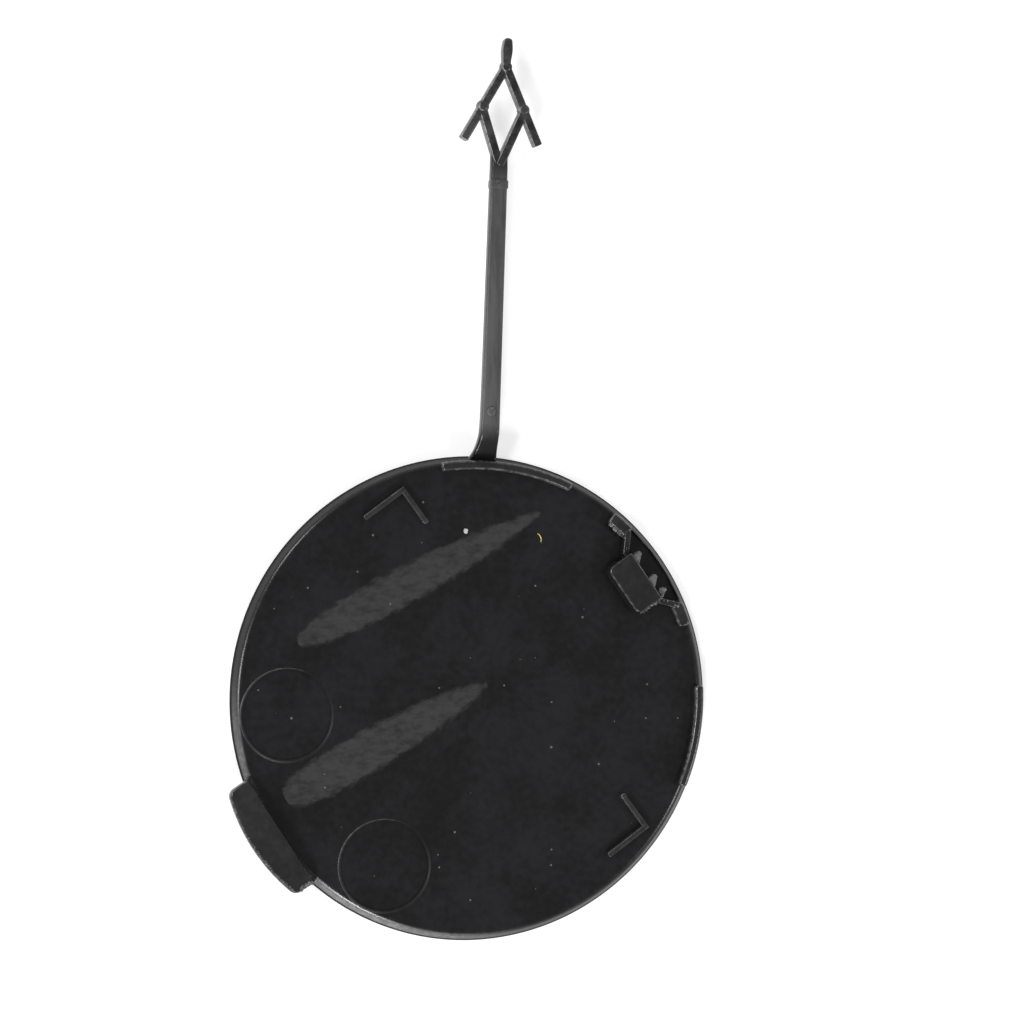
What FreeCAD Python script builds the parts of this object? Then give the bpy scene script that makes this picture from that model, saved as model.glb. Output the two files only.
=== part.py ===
import FreeCAD, Part
import math
import os

import Sketcher
from FreeCAD import Placement, Rotation, Vector

# Tow hook cover, one plastic moulding, in millimetres.
# The origin is the centre of the round outer face. +Z runs from that face to the inside of the car,
# +Y runs along the tether. The snap clip and the hinge tab face each other across the cover, each on an
# axis of its own, turned from +X.

NODE = "tow_hook_cover"

SIZES = {
    # Round plate: flat outer face with a rolled edge, bevelled towards the inside.
    "cover_diameter": 70.0,
    "plate_thickness": 2.4,
    "parting_height": 1.0,
    "front_round": 0.8,
    "bevel_width": 0.95,
    "plate_edge_round": 0.3,
    "clip_angle": 35.0,
    # Low curved walls along the rim, one under the tether and one beside the clip.
    "rim_wall_inset": 0.6,
    "rim_wall_thickness": 1.35,
    "rim_wall_height": 1.5,
    "rim_wall_chamfer": 0.3,
    "tether_wall_start": 64.6,
    "tether_wall_sweep": 33.4,
    "side_wall_start": -22.8,
    "side_wall_sweep": 25.6,
    # Snap clip: an upside-down U with two wedge noses that catch behind the bumper skin.
    "clip_inset": 4.0,
    "clip_depth": 4.35,
    "clip_width": 8.0,
    "clip_height": 2.8,
    "clip_wall": 1.15,
    "clip_chamfer": 0.35,
    "clip_corner_round": 0.9,
    "nose_width": 1.4,
    "nose_reach": 1.05,
    "nose_gap": 1.1,
    "nose_spacing": 4.1,
    "nose_offset": 0.6,
    # Sunk pocket between the clip and the rim, with a block at each end and a rib from block to clip.
    "pocket_depth": 0.7,
    "pocket_rim_wall": 0.95,
    "pocket_mouth": 8.6,
    "pocket_width": 12.2,
    "block_inset": 0.8,
    "block_thickness": 1.9,
    "block_height": 1.2,
    "block_sweep": 6.0,
    "rib_thickness": 1.0,
    "rib_height": 1.5,
    # Hinge tab: a raised flange that hooks behind the bumper skin.
    "tab_angle": 213.0,
    "tab_width": 17.6,
    "tab_reach": 3.3,
    "tab_inset": 1.35,
    "tab_edge_radius": 28.0,
    "tab_riser": 1.3,
    "tab_lift": 1.3,
    "tab_thickness": 1.4,
    "tab_corner_round": 0.9,
    "tab_edge_round": 0.45,
    # L-shaped guide ribs, a mirrored pair.
    "guide_angle": 36.3,
    "guide_inset": 4.6,
    "guide_start": 2.6,
    "guide_length": 7.3,
    "guide_leg": 5.9,
    "guide_thickness": 0.75,
    "guide_height": 1.2,
    "guide_chamfer": 0.15,
    # Round ejector marks, a mirrored pair.
    "mark_inset": 7.9,
    "mark_angle": 28.7,
    "mark_diameter": 13.4,
    "mark_height": 0.1,
    "mark_line": 0.34,
    # Tether strap: rises off the rim and runs out level.
    "strap_offset": 2.1,
    "strap_lean": 2.05,
    "strap_length": 42.2,
    "strap_root_width": 2.75,
    "strap_end_width": 2.45,
    "strap_thickness": 1.6,
    "strap_lift": 0.8,
    "strap_chamfer": 0.4,
    "root_depth": 0.9,
    "root_run": 4.0,
    "root_bend": 1.2,
    "root_flare": 1.2,
    "root_bend_flare": 0.35,
    "nub_place": 6.4,
    "nub_diameter": 1.3,
    "nub_height": 0.3,
    "collar_place": 39.1,
    "collar_length": 1.3,
    "collar_side": 0.1,
    "collar_rise": 0.25,
    # Arrow head anchor at the tether's end: a sprung diamond with two barbs and a lead-in tip.
    "head_lean": 4.1,
    "head_length": 13.85,
    "knot_place": 7.9,
    "knot_spacing": 6.0,
    "barb_length": 12.2,
    "member_width": 1.3,
    "member_chamfer": 0.3,
    "tip_length": 4.2,
    "tip_width": 1.2,
    "knot_diameter": 1.9,
    "knot_proud": 0.12,
    # How far one feature runs into the next so that they join.
    "overlap": 0.3,
}

doc = FreeCAD.newDocument(NODE)
dim = doc.addObject("Spreadsheet::Sheet", "dim")
for row, (alias, value) in enumerate(SIZES.items(), 1):
    dim.set(f"A{row}", alias)
    dim.set(f"B{row}", str(value))
    dim.setAlias(f"B{row}", alias)
doc.recompute()

body = doc.addObject("PartDesign::Body", NODE)
body.Label = NODE

# Formulas that several features share.
RADIUS = "(dim.cover_diameter / 2)"
CLIP_OUTER = f"({RADIUS} - dim.clip_inset)"
CLIP_INNER = f"({CLIP_OUTER} - dim.clip_depth)"
CLIP_TOP = "(dim.plate_thickness + dim.clip_height)"
TAB_INNER = f"({RADIUS} - dim.tab_inset)"
TAB_BOTTOM = "(dim.plate_thickness + dim.tab_lift)"
TAB_TOP = f"({TAB_BOTTOM} + dim.tab_thickness)"
STRAP_BOTTOM = "(dim.plate_thickness + dim.strap_lift)"
STRAP_TOP = f"({STRAP_BOTTOM} + dim.strap_thickness)"
BLOCK_INNER = f"({RADIUS} - dim.block_inset - dim.block_thickness)"


def new_sketch(name, role, turn=None, base=None):
    """Starts a sketch on an origin plane, turned about the vertical axis and shifted to a base point."""
    sketch = body.newObject("Sketcher::SketchObject", name)
    plane = next(item for item in body.Origin.OriginFeatures if item.Role == role)
    sketch.AttachmentSupport = [(plane, "")]
    sketch.MapMode = "FlatFace"
    if turn:
        vertical = Vector(0, 0, 1) if role == "XY_Plane" else Vector(0, 1, 0)
        sketch.AttachmentOffset = Placement(Vector(), Rotation(vertical, 1))
        sketch.setExpression("AttachmentOffset.Rotation.Angle", turn)
    for letter, formula in (base or {}).items():
        sketch.setExpression(f"AttachmentOffset.Base.{letter}", formula)
    return sketch


def pin(sketch, geometry, point, formulas):
    """Holds one point of the sketch at a place given by two formulas."""
    for kind, formula in zip(("DistanceX", "DistanceY"), formulas):
        index = sketch.addConstraint(Sketcher.Constraint(kind, -1, 1, geometry, point, 1.0))
        sketch.setExpression(f"Constraints[{index}]", formula)


def draw_outline(sketch, corners):
    """Draws a closed outline of straight edges through corners given by formulas."""
    count = len(corners)
    turns = [2 * math.pi * k / count for k in range(count)]
    start = [Vector(math.cos(turn), math.sin(turn), 0) for turn in turns]
    for k in range(count):
        sketch.addGeometry(Part.LineSegment(start[k], start[(k + 1) % count]))
    for k in range(count):
        sketch.addConstraint(Sketcher.Constraint("Coincident", k, 2, (k + 1) % count, 1))
    for k, corner in enumerate(corners):
        pin(sketch, k, 1, corner)


def draw_circle(sketch, centre, diameter):
    """Draws a circle with its centre and diameter given by formulas."""
    index = sketch.addGeometry(Part.Circle(Vector(), Vector(0, 0, 1), 1.0))
    pin(sketch, index, 3, centre)
    constraint = sketch.addConstraint(Sketcher.Constraint("Diameter", index, 2.0))
    sketch.setExpression(f"Constraints[{constraint}]", diameter)


def draw_ridge(sketch, left, right, bottom, top, chamfer):
    """Draws an upright section with both top edges chamfered."""
    shoulder = f"{top} - {chamfer}"
    draw_outline(sketch, [
        (left, bottom),
        (right, bottom),
        (right, shoulder),
        (f"{right} - {chamfer}", top),
        (f"{left} + {chamfer}", top),
        (left, shoulder),
    ])


def add_feature(kind, name, sketch, **formulas):
    """Adds a feature on a sketch, with its sizes bound to formulas."""
    feature = body.newObject(f"PartDesign::{kind}", name)
    feature.Profile = sketch
    for key, formula in formulas.items():
        feature.setExpression(key, formula)
    return feature


def add_pad(name, sketch, length, midplane=False, backwards=False):
    """Pads a sketch, to both sides of its plane or to one."""
    pad = add_feature("Pad", name, sketch, Length=length)
    pad.Midplane = midplane
    pad.Reversed = backwards
    return pad


def add_turned(name, sketch, sweep):
    """Turns a section about the vertical axis through an angle."""
    turned = add_feature("Revolution", name, sketch, Angle=sweep)
    turned.ReferenceAxis = (sketch, ["V_Axis"])
    return turned


def add_mirrored(name, features, sketch, axis):
    """Mirrors features about the upright plane through an axis of a sketch."""
    mirrored = body.newObject("PartDesign::Mirrored", name)
    mirrored.Originals = features
    mirrored.MirrorPlane = (sketch, [axis])
    body.Tip = mirrored
    return mirrored


def add_round(name, base, test, radius):
    """Rounds every edge of the solid so far that passes a test."""
    doc.recompute()
    edges = [f"Edge{k}" for k, edge in enumerate(base.Shape.Edges, 1) if test(edge)]
    rounded = body.newObject("PartDesign::Fillet", name)
    rounded.Base = (base, edges)
    rounded.setExpression("Radius", radius)
    return rounded


def size(alias):
    """The number that a cell of the sheet holds."""
    return float(dim.get(alias))


def is_level(edge, height):
    """True for an edge that lies flat at a height."""
    box = edge.BoundBox
    return abs(box.ZMin - height) < 1e-4 and abs(box.ZMax - height) < 1e-4


def is_upright(edge):
    """True for a straight vertical edge."""
    box = edge.BoundBox
    return box.ZLength > 1e-3 and max(box.XLength, box.YLength) < 1e-4


def along_axis(point, alias):
    """How far a point lies along and across an axis that is turned from +X by an angle of the sheet."""
    turn = math.radians(size(alias))
    along = point.x * math.cos(turn) + point.y * math.sin(turn)
    across = point.y * math.cos(turn) - point.x * math.sin(turn)
    return along, across


def build_plate():
    """Round plate, turned from its half section, with its front edge rolled and its back edge eased."""
    section = new_sketch("plate_section", "XZ_Plane")
    draw_outline(section, [
        ("0", "0"),
        (RADIUS, "0"),
        (RADIUS, "dim.parting_height"),
        (f"{RADIUS} - dim.bevel_width", "dim.plate_thickness"),
        ("0", "dim.plate_thickness"),
    ])
    plate = add_turned("plate", section, "360")
    front = add_round(
        "front_edge", plate, lambda edge: is_level(edge, 0), "min(dim.front_round; 0.9 * dim.parting_height)"
    )
    add_round(
        "back_edge", front, lambda edge: is_level(edge, size("plate_thickness")), "dim.plate_edge_round"
    )


def build_rim_walls():
    """Low curved walls that stand on the rim, each a ridge turned through its own angle."""
    for name in ("tether_wall", "side_wall"):
        section = new_sketch(f"{name}_section", "XZ_Plane", turn=f"dim.{name}_start")
        outer = f"({RADIUS} - dim.rim_wall_inset)"
        draw_ridge(
            section,
            f"({outer} - dim.rim_wall_thickness)",
            outer,
            "dim.parting_height",
            "(dim.plate_thickness + dim.rim_wall_height)",
            "dim.rim_wall_chamfer",
        )
        add_turned(name, section, f"dim.{name}_sweep")


def build_pocket():
    """Sunk pocket in front of the clip, and the block and rib at each of its ends."""
    sunk = new_sketch("pocket_outline", "XY_Plane", turn="dim.clip_angle", base={"z": "dim.plate_thickness"})
    shoulder = f"({BLOCK_INNER} + dim.overlap)"
    edge = f"sqrt(({RADIUS} - dim.pocket_rim_wall) ^ 2 - (dim.pocket_width / 2) ^ 2)"
    draw_outline(sunk, [
        (CLIP_OUTER, "-dim.pocket_mouth / 2"),
        (shoulder, "-dim.pocket_width / 2"),
        (edge, "-dim.pocket_width / 2"),
        (f"{RADIUS} - dim.pocket_rim_wall", "-dim.pocket_mouth / 4"),
        (f"{RADIUS} - dim.pocket_rim_wall", "dim.pocket_mouth / 4"),
        (edge, "dim.pocket_width / 2"),
        (shoulder, "dim.pocket_width / 2"),
        (CLIP_OUTER, "dim.pocket_mouth / 2"),
    ])
    add_feature("Pocket", "pocket", sunk, Length="dim.pocket_depth")

    first = f"asin(dim.pocket_width / 2 / {BLOCK_INNER})"
    section = new_sketch("block_section", "XZ_Plane", turn=f"dim.clip_angle * 1 deg + {first}")
    draw_ridge(
        section,
        BLOCK_INNER,
        f"({BLOCK_INNER} + dim.block_thickness)",
        "dim.parting_height",
        "(dim.plate_thickness + dim.block_height)",
        "dim.rim_wall_chamfer",
    )
    block = add_turned("block", section, "dim.block_sweep")

    plan = new_sketch("rib_outline", "XY_Plane", turn="dim.clip_angle", base={"z": "dim.parting_height"})
    draw_outline(plan, [
        (f"{CLIP_OUTER} - dim.rib_thickness", "dim.clip_width / 2 - dim.overlap"),
        (CLIP_OUTER, "dim.clip_width / 2 - dim.overlap"),
        (CLIP_OUTER, "dim.pocket_mouth / 2"),
        (shoulder, "dim.pocket_width / 2"),
        (shoulder, "dim.pocket_width / 2 + dim.rib_thickness"),
    ])
    rib = add_pad("rib", plan, "dim.plate_thickness - dim.parting_height + dim.rib_height")
    add_mirrored("pocket_ends", [block, rib], plan, "H_Axis")


def build_clip():
    """Snap clip: a U-shaped tongue, upside down, with two wedge noses on its outer leg."""
    section = new_sketch("clip_section", "XZ_Plane", turn="dim.clip_angle")
    inside = f"({CLIP_TOP} - dim.clip_wall)"
    draw_outline(section, [
        (CLIP_INNER, "dim.parting_height"),
        (f"{CLIP_INNER} + dim.clip_wall", "dim.parting_height"),
        (f"{CLIP_INNER} + dim.clip_wall", inside),
        (f"{CLIP_OUTER} - dim.clip_wall", inside),
        (f"{CLIP_OUTER} - dim.clip_wall", "dim.parting_height"),
        (CLIP_OUTER, "dim.parting_height"),
        (CLIP_OUTER, f"{CLIP_TOP} - dim.clip_chamfer"),
        (f"{CLIP_OUTER} - dim.clip_chamfer", CLIP_TOP),
        (f"{CLIP_INNER} + dim.clip_chamfer", CLIP_TOP),
        (CLIP_INNER, f"{CLIP_TOP} - dim.clip_chamfer"),
    ])
    tongue = add_pad("clip", section, "dim.clip_width", midplane=True)

    def is_clip_corner(edge):
        along, across = along_axis(edge.CenterOfMass, "clip_angle")
        inner = size("cover_diameter") / 2 - size("clip_inset") - size("clip_depth")
        at_end = abs(abs(across) - size("clip_width") / 2) < 1e-3
        return is_upright(edge) and at_end and abs(along - inner) < 1e-3

    add_round("clip_corners", tongue, is_clip_corner, "min(dim.clip_corner_round; 0.9 * dim.clip_wall)")

    # The first nose lies to one side of the clip's middle, and a pattern repeats it along the clip.
    under = "(dim.plate_thickness + dim.nose_gap)"
    wedge = new_sketch("nose_outline", "XY_Plane", turn="dim.clip_angle", base={"z": under})
    first = "(dim.nose_offset - dim.nose_spacing / 2)"
    draw_outline(wedge, [
        (f"{CLIP_OUTER} - dim.overlap", f"{first} - dim.nose_width / 2"),
        (f"{CLIP_OUTER} + dim.nose_reach", f"{first} + dim.nose_width / 4"),
        (f"{CLIP_OUTER} + dim.nose_reach", f"{first} + dim.nose_width / 2"),
        (f"{CLIP_OUTER} - dim.overlap", f"{first} + dim.nose_width / 2"),
    ])
    nose = add_pad("nose", wedge, f"{CLIP_TOP} - dim.clip_chamfer - {under}")
    noses = body.newObject("PartDesign::LinearPattern", "noses")
    noses.Originals = [nose]
    noses.Direction = (wedge, ["V_Axis"])
    noses.setExpression("Length", "dim.nose_spacing")
    noses.Occurrences = 2
    body.Tip = noses


def build_tab():
    """Hinge tab: a riser on the rim and a flange that reaches out over it, with a curved outer edge."""
    section = new_sketch("tab_section", "XZ_Plane", turn="dim.tab_angle")
    reach = f"({RADIUS} + dim.tab_reach)"
    draw_outline(section, [
        (TAB_INNER, "dim.parting_height"),
        (f"{TAB_INNER} + dim.tab_riser", "dim.parting_height"),
        (f"{TAB_INNER} + dim.tab_riser", TAB_BOTTOM),
        (f"{reach} + dim.overlap", TAB_BOTTOM),
        (f"{reach} + dim.overlap", TAB_TOP),
        (TAB_INNER, TAB_TOP),
    ])
    add_pad("tab", section, "dim.tab_width", midplane=True)

    # The flange is trimmed to an edge that is an arc about a point inside the plate.
    centre = f"({reach} - dim.tab_edge_radius)"
    trim = new_sketch("tab_trim_section", "XZ_Plane", turn="dim.tab_angle", base={
        "x": f"{centre} * cos(dim.tab_angle)",
        "z": f"-{centre} * sin(dim.tab_angle)",
    })
    beyond = "(dim.tab_edge_radius + dim.tab_width / 2)"
    draw_outline(trim, [
        ("dim.tab_edge_radius", "dim.parting_height"),
        (beyond, "dim.parting_height"),
        (beyond, f"{TAB_TOP} + dim.overlap"),
        ("dim.tab_edge_radius", f"{TAB_TOP} + dim.overlap"),
    ])
    edge = add_feature("Groove", "tab_edge", trim, Angle="3 * asin(dim.tab_width / 2 / dim.tab_edge_radius)")
    edge.ReferenceAxis = (trim, ["V_Axis"])
    edge.Midplane = True

    inner = size("cover_diameter") / 2 - size("tab_inset")
    rim = size("cover_diameter") / 2
    top = size("plate_thickness") + size("tab_lift") + size("tab_thickness")

    def is_corner(edge):
        middle = edge.CenterOfMass
        return is_upright(edge) and math.hypot(middle.x, middle.y) > rim + size("tab_reach") / 2

    def is_flange_edge(edge):
        along, across = along_axis(edge.CenterOfMass, "tab_angle")
        return is_level(edge, top) and along > inner + size("tab_riser") / 2

    corners = add_round("tab_corners", edge, is_corner, "min(dim.tab_corner_round; 0.9 * dim.tab_reach)")
    add_round("tab_round", corners, is_flange_edge, "min(dim.tab_edge_round; 0.8 * dim.tab_thickness)")


def build_guides():
    """L-shaped guide ribs, a mirrored pair about an axis of their own."""
    place = f"({RADIUS} - dim.guide_inset)"
    half = "dim.guide_thickness / 2"
    bottom = "dim.parting_height"
    top = "(dim.plate_thickness + dim.guide_height)"
    run = new_sketch("guide_section", "YZ_Plane", turn="dim.guide_angle", base={
        "x": "dim.guide_start * sin(dim.guide_angle)",
        "z": "dim.guide_start * cos(dim.guide_angle)",
    })
    draw_ridge(run, f"({place} - {half})", f"({place} + {half})", bottom, top, "dim.guide_chamfer")
    long_leg = add_pad("guide_long_leg", run, "dim.guide_length")

    leg = new_sketch("guide_leg_section", "XZ_Plane", turn="dim.guide_angle", base={
        "x": f"-({place} + {half}) * sin(dim.guide_angle)",
        "z": f"-({place} + {half}) * cos(dim.guide_angle)",
    })
    far = "(dim.guide_start + dim.guide_length)"
    draw_ridge(leg, f"({far} - dim.guide_thickness)", far, bottom, top, "dim.guide_chamfer")
    short_leg = add_pad("guide_short_leg", leg, "dim.guide_leg")

    # The short leg ends in a round post.
    post = new_sketch("guide_post_outline", "XY_Plane", turn="dim.guide_angle", base={"z": bottom})
    draw_circle(post, (f"{far} - {half}", f"{place} + {half} - dim.guide_leg"), "1.2 * dim.guide_thickness")
    end_post = add_pad("guide_post", post, "dim.plate_thickness - dim.parting_height + dim.guide_height")
    add_mirrored("guides", [long_leg, short_leg, end_post], post, "H_Axis")


def build_marks():
    """Round ejector marks, each a fine ring that stands on the plate."""
    foot = "(dim.plate_thickness - dim.overlap)"
    ring = new_sketch("mark_ring", "XY_Plane", turn="dim.tab_angle", base={"z": foot})
    reach = f"({RADIUS} - dim.mark_inset)"
    centre = (f"{reach} * cos(dim.mark_angle)", f"{reach} * sin(dim.mark_angle)")
    draw_circle(ring, centre, "dim.mark_diameter")
    draw_circle(ring, centre, "dim.mark_diameter - 2 * dim.mark_line")
    mark = add_pad("mark", ring, "dim.overlap + dim.mark_height")
    add_mirrored("marks", [mark], ring, "H_Axis")


def strap_base(distance):
    """Where a sketch across the strap stands, a distance out from the rim along the strap."""
    return {
        "x": f"dim.strap_offset + ({distance}) * sin(dim.strap_lean)",
        "z": f"-{RADIUS} - ({distance}) * cos(dim.strap_lean)",
    }


def build_strap():
    """Tether strap: one loft that flares into the rim, climbs to its bend and runs out level."""
    slope = f"(({STRAP_BOTTOM} - dim.parting_height) / dim.root_run)"
    half = "(dim.strap_root_width / 2)"
    stations = [
        ("root", "-dim.root_depth", f"({half} + dim.root_flare)", half, "dim.parting_height"),
        ("bend", "dim.root_bend", f"({half} + dim.root_bend_flare)", half,
         f"(dim.parting_height + {slope} * dim.root_bend)"),
        ("run", "dim.root_run", half, half, STRAP_BOTTOM),
        ("end", "dim.strap_length", "(dim.strap_end_width / 2)", "(dim.strap_end_width / 2)", STRAP_BOTTOM),
    ]
    sections = []
    for name, distance, left, right, bottom in stations:
        section = new_sketch(f"strap_{name}", "XZ_Plane", turn="-dim.strap_lean", base=strap_base(distance))
        draw_ridge(section, f"-{left}", right, bottom, f"({bottom} + dim.strap_thickness)", "dim.strap_chamfer")
        sections.append(section)
    strap = body.newObject("PartDesign::AdditiveLoft", "strap")
    strap.Profile = sections[0]
    strap.Sections = sections[1:]
    strap.Ruled = True

    nub = new_sketch("nub_outline", "XY_Plane", turn="-dim.strap_lean", base={
        "x": "dim.strap_offset",
        "y": RADIUS,
        "z": STRAP_BOTTOM,
    })
    draw_circle(nub, ("0", "dim.nub_place"), "dim.nub_diameter")
    add_pad("nub", nub, "dim.strap_thickness + dim.nub_height")

    collar = new_sketch("collar_section", "XZ_Plane", turn="-dim.strap_lean", base=strap_base("dim.collar_place"))
    edge = "(dim.strap_end_width / 2 + dim.collar_side)"
    draw_ridge(
        collar, f"-{edge}", edge, STRAP_BOTTOM, f"({STRAP_TOP} + dim.collar_rise)", "dim.strap_chamfer"
    )
    add_pad("collar", collar, "dim.collar_length", midplane=True)


def head_place(along):
    """Where the head's axis passes, a distance on from the fork at the strap's end."""
    strap = "dim.strap_length"
    return (
        f"dim.strap_offset + {strap} * sin(dim.strap_lean) + ({along}) * sin(dim.head_lean)",
        f"{RADIUS} + {strap} * cos(dim.strap_lean) + ({along}) * cos(dim.head_lean)",
    )


def add_member(name, along, heading, length, width):
    """Adds a bar of the head from a place on its axis, on a heading clockwise from +Y."""
    x, y = head_place(along)
    section = new_sketch(f"{name}_section", "XZ_Plane", turn=f"-({heading})", base={"x": x, "z": f"-({y})"})
    half = f"({width} / 2)"
    draw_ridge(section, f"-{half}", half, STRAP_BOTTOM, STRAP_TOP, "dim.member_chamfer")
    return add_pad(name, section, length, backwards=True)


def add_knot(name, centre):
    """Adds a round lump where members of the head meet."""
    x, y = head_place("0")
    base = {"x": x, "y": y, "z": STRAP_BOTTOM}
    outline = new_sketch(f"{name}_outline", "XY_Plane", turn="-dim.head_lean", base=base)
    draw_circle(outline, centre, "dim.knot_diameter")
    return outline, add_pad(name, outline, "dim.strap_thickness + dim.knot_proud")


def build_head():
    """Arrow head: a diamond of four members, two of which run on as barbs, and a rounded tip."""
    half = "(dim.knot_spacing / 2)"
    rest = "(dim.head_length - dim.knot_place)"
    away = f"dim.head_lean * 1 deg + atan({half} / dim.knot_place)"
    back = f"(dim.head_lean + 180) * 1 deg - atan({half} / {rest})"
    lower = add_member("lower_member", "0", away, f"sqrt({half} ^ 2 + dim.knot_place ^ 2)", "dim.member_width")
    axis, knot = add_knot("side_knot", (half, "dim.knot_place"))
    barb = add_member("barb", "dim.head_length", back, "dim.barb_length", "dim.member_width")
    add_mirrored("head", [lower, knot, barb], axis, "V_Axis")
    add_knot("crown", ("0", "dim.head_length"))

    add_member("stem", "dim.head_length", "dim.head_lean", "dim.tip_length - dim.tip_width / 2", "dim.tip_width")
    x, y = head_place("dim.head_length + dim.tip_length - dim.tip_width / 2")
    tip = new_sketch("tip_outline", "XY_Plane", base={"x": x, "y": y, "z": STRAP_BOTTOM})
    draw_circle(tip, ("0", "0"), "dim.tip_width")
    add_pad("tip", tip, "dim.strap_thickness - dim.member_chamfer")


build_plate()
build_rim_walls()
build_pocket()
build_clip()
build_tab()
build_guides()
build_marks()
build_strap()
build_head()
doc.recompute()

failed = [item.Name for item in doc.Objects if {"Invalid", "Error"} & set(item.State)]
if failed:
    raise RuntimeError(f"these features failed: {failed}")
shape = body.Shape
if shape.isNull() or not shape.isValid() or len(shape.Solids) != 1:
    raise RuntimeError("the cover is not one valid solid")

os.makedirs("parts", exist_ok=True)
shape.exportStep(f"parts/{NODE}.step")
print(f"{NODE}: {shape.Volume:.1f} mm3, {shape.BoundBox}")
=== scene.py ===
import logging
import math
from dataclasses import dataclass
from enum import Enum

import bmesh
import bpy
import numpy as np
from mathutils import Matrix, Vector


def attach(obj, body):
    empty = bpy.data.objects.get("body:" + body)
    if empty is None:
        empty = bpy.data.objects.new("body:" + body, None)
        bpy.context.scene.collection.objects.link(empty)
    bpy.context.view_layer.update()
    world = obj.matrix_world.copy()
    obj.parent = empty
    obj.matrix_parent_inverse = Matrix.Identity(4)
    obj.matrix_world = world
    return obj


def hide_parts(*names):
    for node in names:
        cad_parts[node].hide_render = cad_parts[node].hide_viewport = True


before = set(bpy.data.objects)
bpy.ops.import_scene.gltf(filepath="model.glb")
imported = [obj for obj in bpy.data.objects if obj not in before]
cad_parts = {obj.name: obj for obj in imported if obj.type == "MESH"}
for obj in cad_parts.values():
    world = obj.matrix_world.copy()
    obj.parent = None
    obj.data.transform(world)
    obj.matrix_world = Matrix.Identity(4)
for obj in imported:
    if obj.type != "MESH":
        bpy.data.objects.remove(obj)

Array = np.ndarray
Point = tuple[float, float]
Triple = tuple[float, float, float]
Material = bpy.types.Material
Piece = bpy.types.Object
Socket = bpy.types.NodeSocket

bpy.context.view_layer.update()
LOG = logging.getLogger("tow_hook_cover")
MM = 0.001
BODY = "root"
NODE = "tow_hook_cover"
CORNER_STEPS = 7
ROUND_STEPS = 24
WIDEST_CORNER = 0.48
MERGE_DISTANCE = 1e-7
SMOOTH_ANGLE = math.radians(34.0)
QUARTER = np.linspace(0.0, math.pi / 2, CORNER_STEPS)
BOTH_SIDES = (1.0, -1.0)
# Numbers of a Mix node's colour sockets, which share their names with its other sockets.
MIX_ENDS = (6, 7)
MIX_RESULT = 2


class Axis(Enum):
    """The upright planes that features of the cover lie on, as angles from +X in degrees."""

    CLIP = 35.0
    GUIDE = 36.3
    TAB = 213.0

    def turn(self, points: Array) -> Array:
        """Turns points given along and across this axis into the frame.

        Args:
            points: Any array whose last axis holds along, across and perhaps height.

        Returns:
            The same points with x and y in place of along and across.
        """
        angle = math.radians(self.value)
        along, across = points[..., 0], points[..., 1]
        flat = (
            along * math.cos(angle) - across * math.sin(angle),
            along * math.sin(angle) + across * math.cos(angle),
        )
        return np.stack([*flat, *np.moveaxis(points[..., 2:], -1, 0)], axis=-1)


class Cloud(Enum):
    """Noise patterns: cells for each unit of place, finer layers, and how strong those are."""

    HAZE = (0.12, 5.0, 0.6)
    MOTTLE = (0.9, 3.0, 0.55)
    PATCH = (1.4, 4.0, 0.7)
    STREAK = (1.0, 6.0, 0.7)
    GRAIN = (5.0, 2.0, 0.55)


def grey(level: float) -> Triple:
    """A neutral colour of a given level."""
    return level, level, level


def ring_faces(rows: int, columns: int) -> Array:
    """Quads between neighbouring rows of a grid whose columns close into a ring.

    Args:
        rows: How many rings the grid has.
        columns: How many points each ring has.

    Returns:
        One row of four point numbers for each quad.
    """
    row, column = np.meshgrid(np.arange(rows - 1), np.arange(columns), indexing="ij")
    here = row * columns + column
    beside = row * columns + (column + 1) % columns
    return np.stack([here, beside, beside + columns, here + columns], axis=-1).reshape(-1, 4)


def stations(length: float, ease: float, steps: int) -> Array:
    """Distances along a bar: close together where its ends are rounded, even between.

    An end's distances are ease * (1 - cos a) for a from 0 to a quarter turn.

    Args:
        length: The bar's length.
        ease: The radius of its rounded ends.
        steps: How many stretches lie between the ends.

    Returns:
        The distances in order.
    """
    end = ease * (1.0 - np.cos(QUARTER))
    middle = np.linspace(ease, length - ease, steps + 1)[1:-1]
    return np.concatenate([end, middle, length - end[::-1]])


def end_inset(along: Array, length: float, ease: float) -> Array:
    """How far a bar's sides draw in near its ends, so that each end is a quarter circle in plan.

    With g the distance still to go to the straight part, the inset is ease - sqrt(ease^2 - g^2).

    Args:
        along: Distances along the bar.
        length: The bar's length.
        ease: The radius of its rounded ends.

    Returns:
        One inset for each distance.
    """
    gap = np.clip(ease - np.minimum(along, length - along), 0.0, ease)
    return ease - np.sqrt(np.maximum(ease**2 - gap**2, 0.0))


def smooth_rise(along: Array, start: float, run: float) -> Array:
    """Goes from 0 to 1 over a run as 3 s^2 - 2 s^3, s being the part of the run that is behind."""
    part = np.clip((along - start) / run, 0.0, 1.0)
    return part**2 * (3.0 - 2.0 * part)


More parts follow.
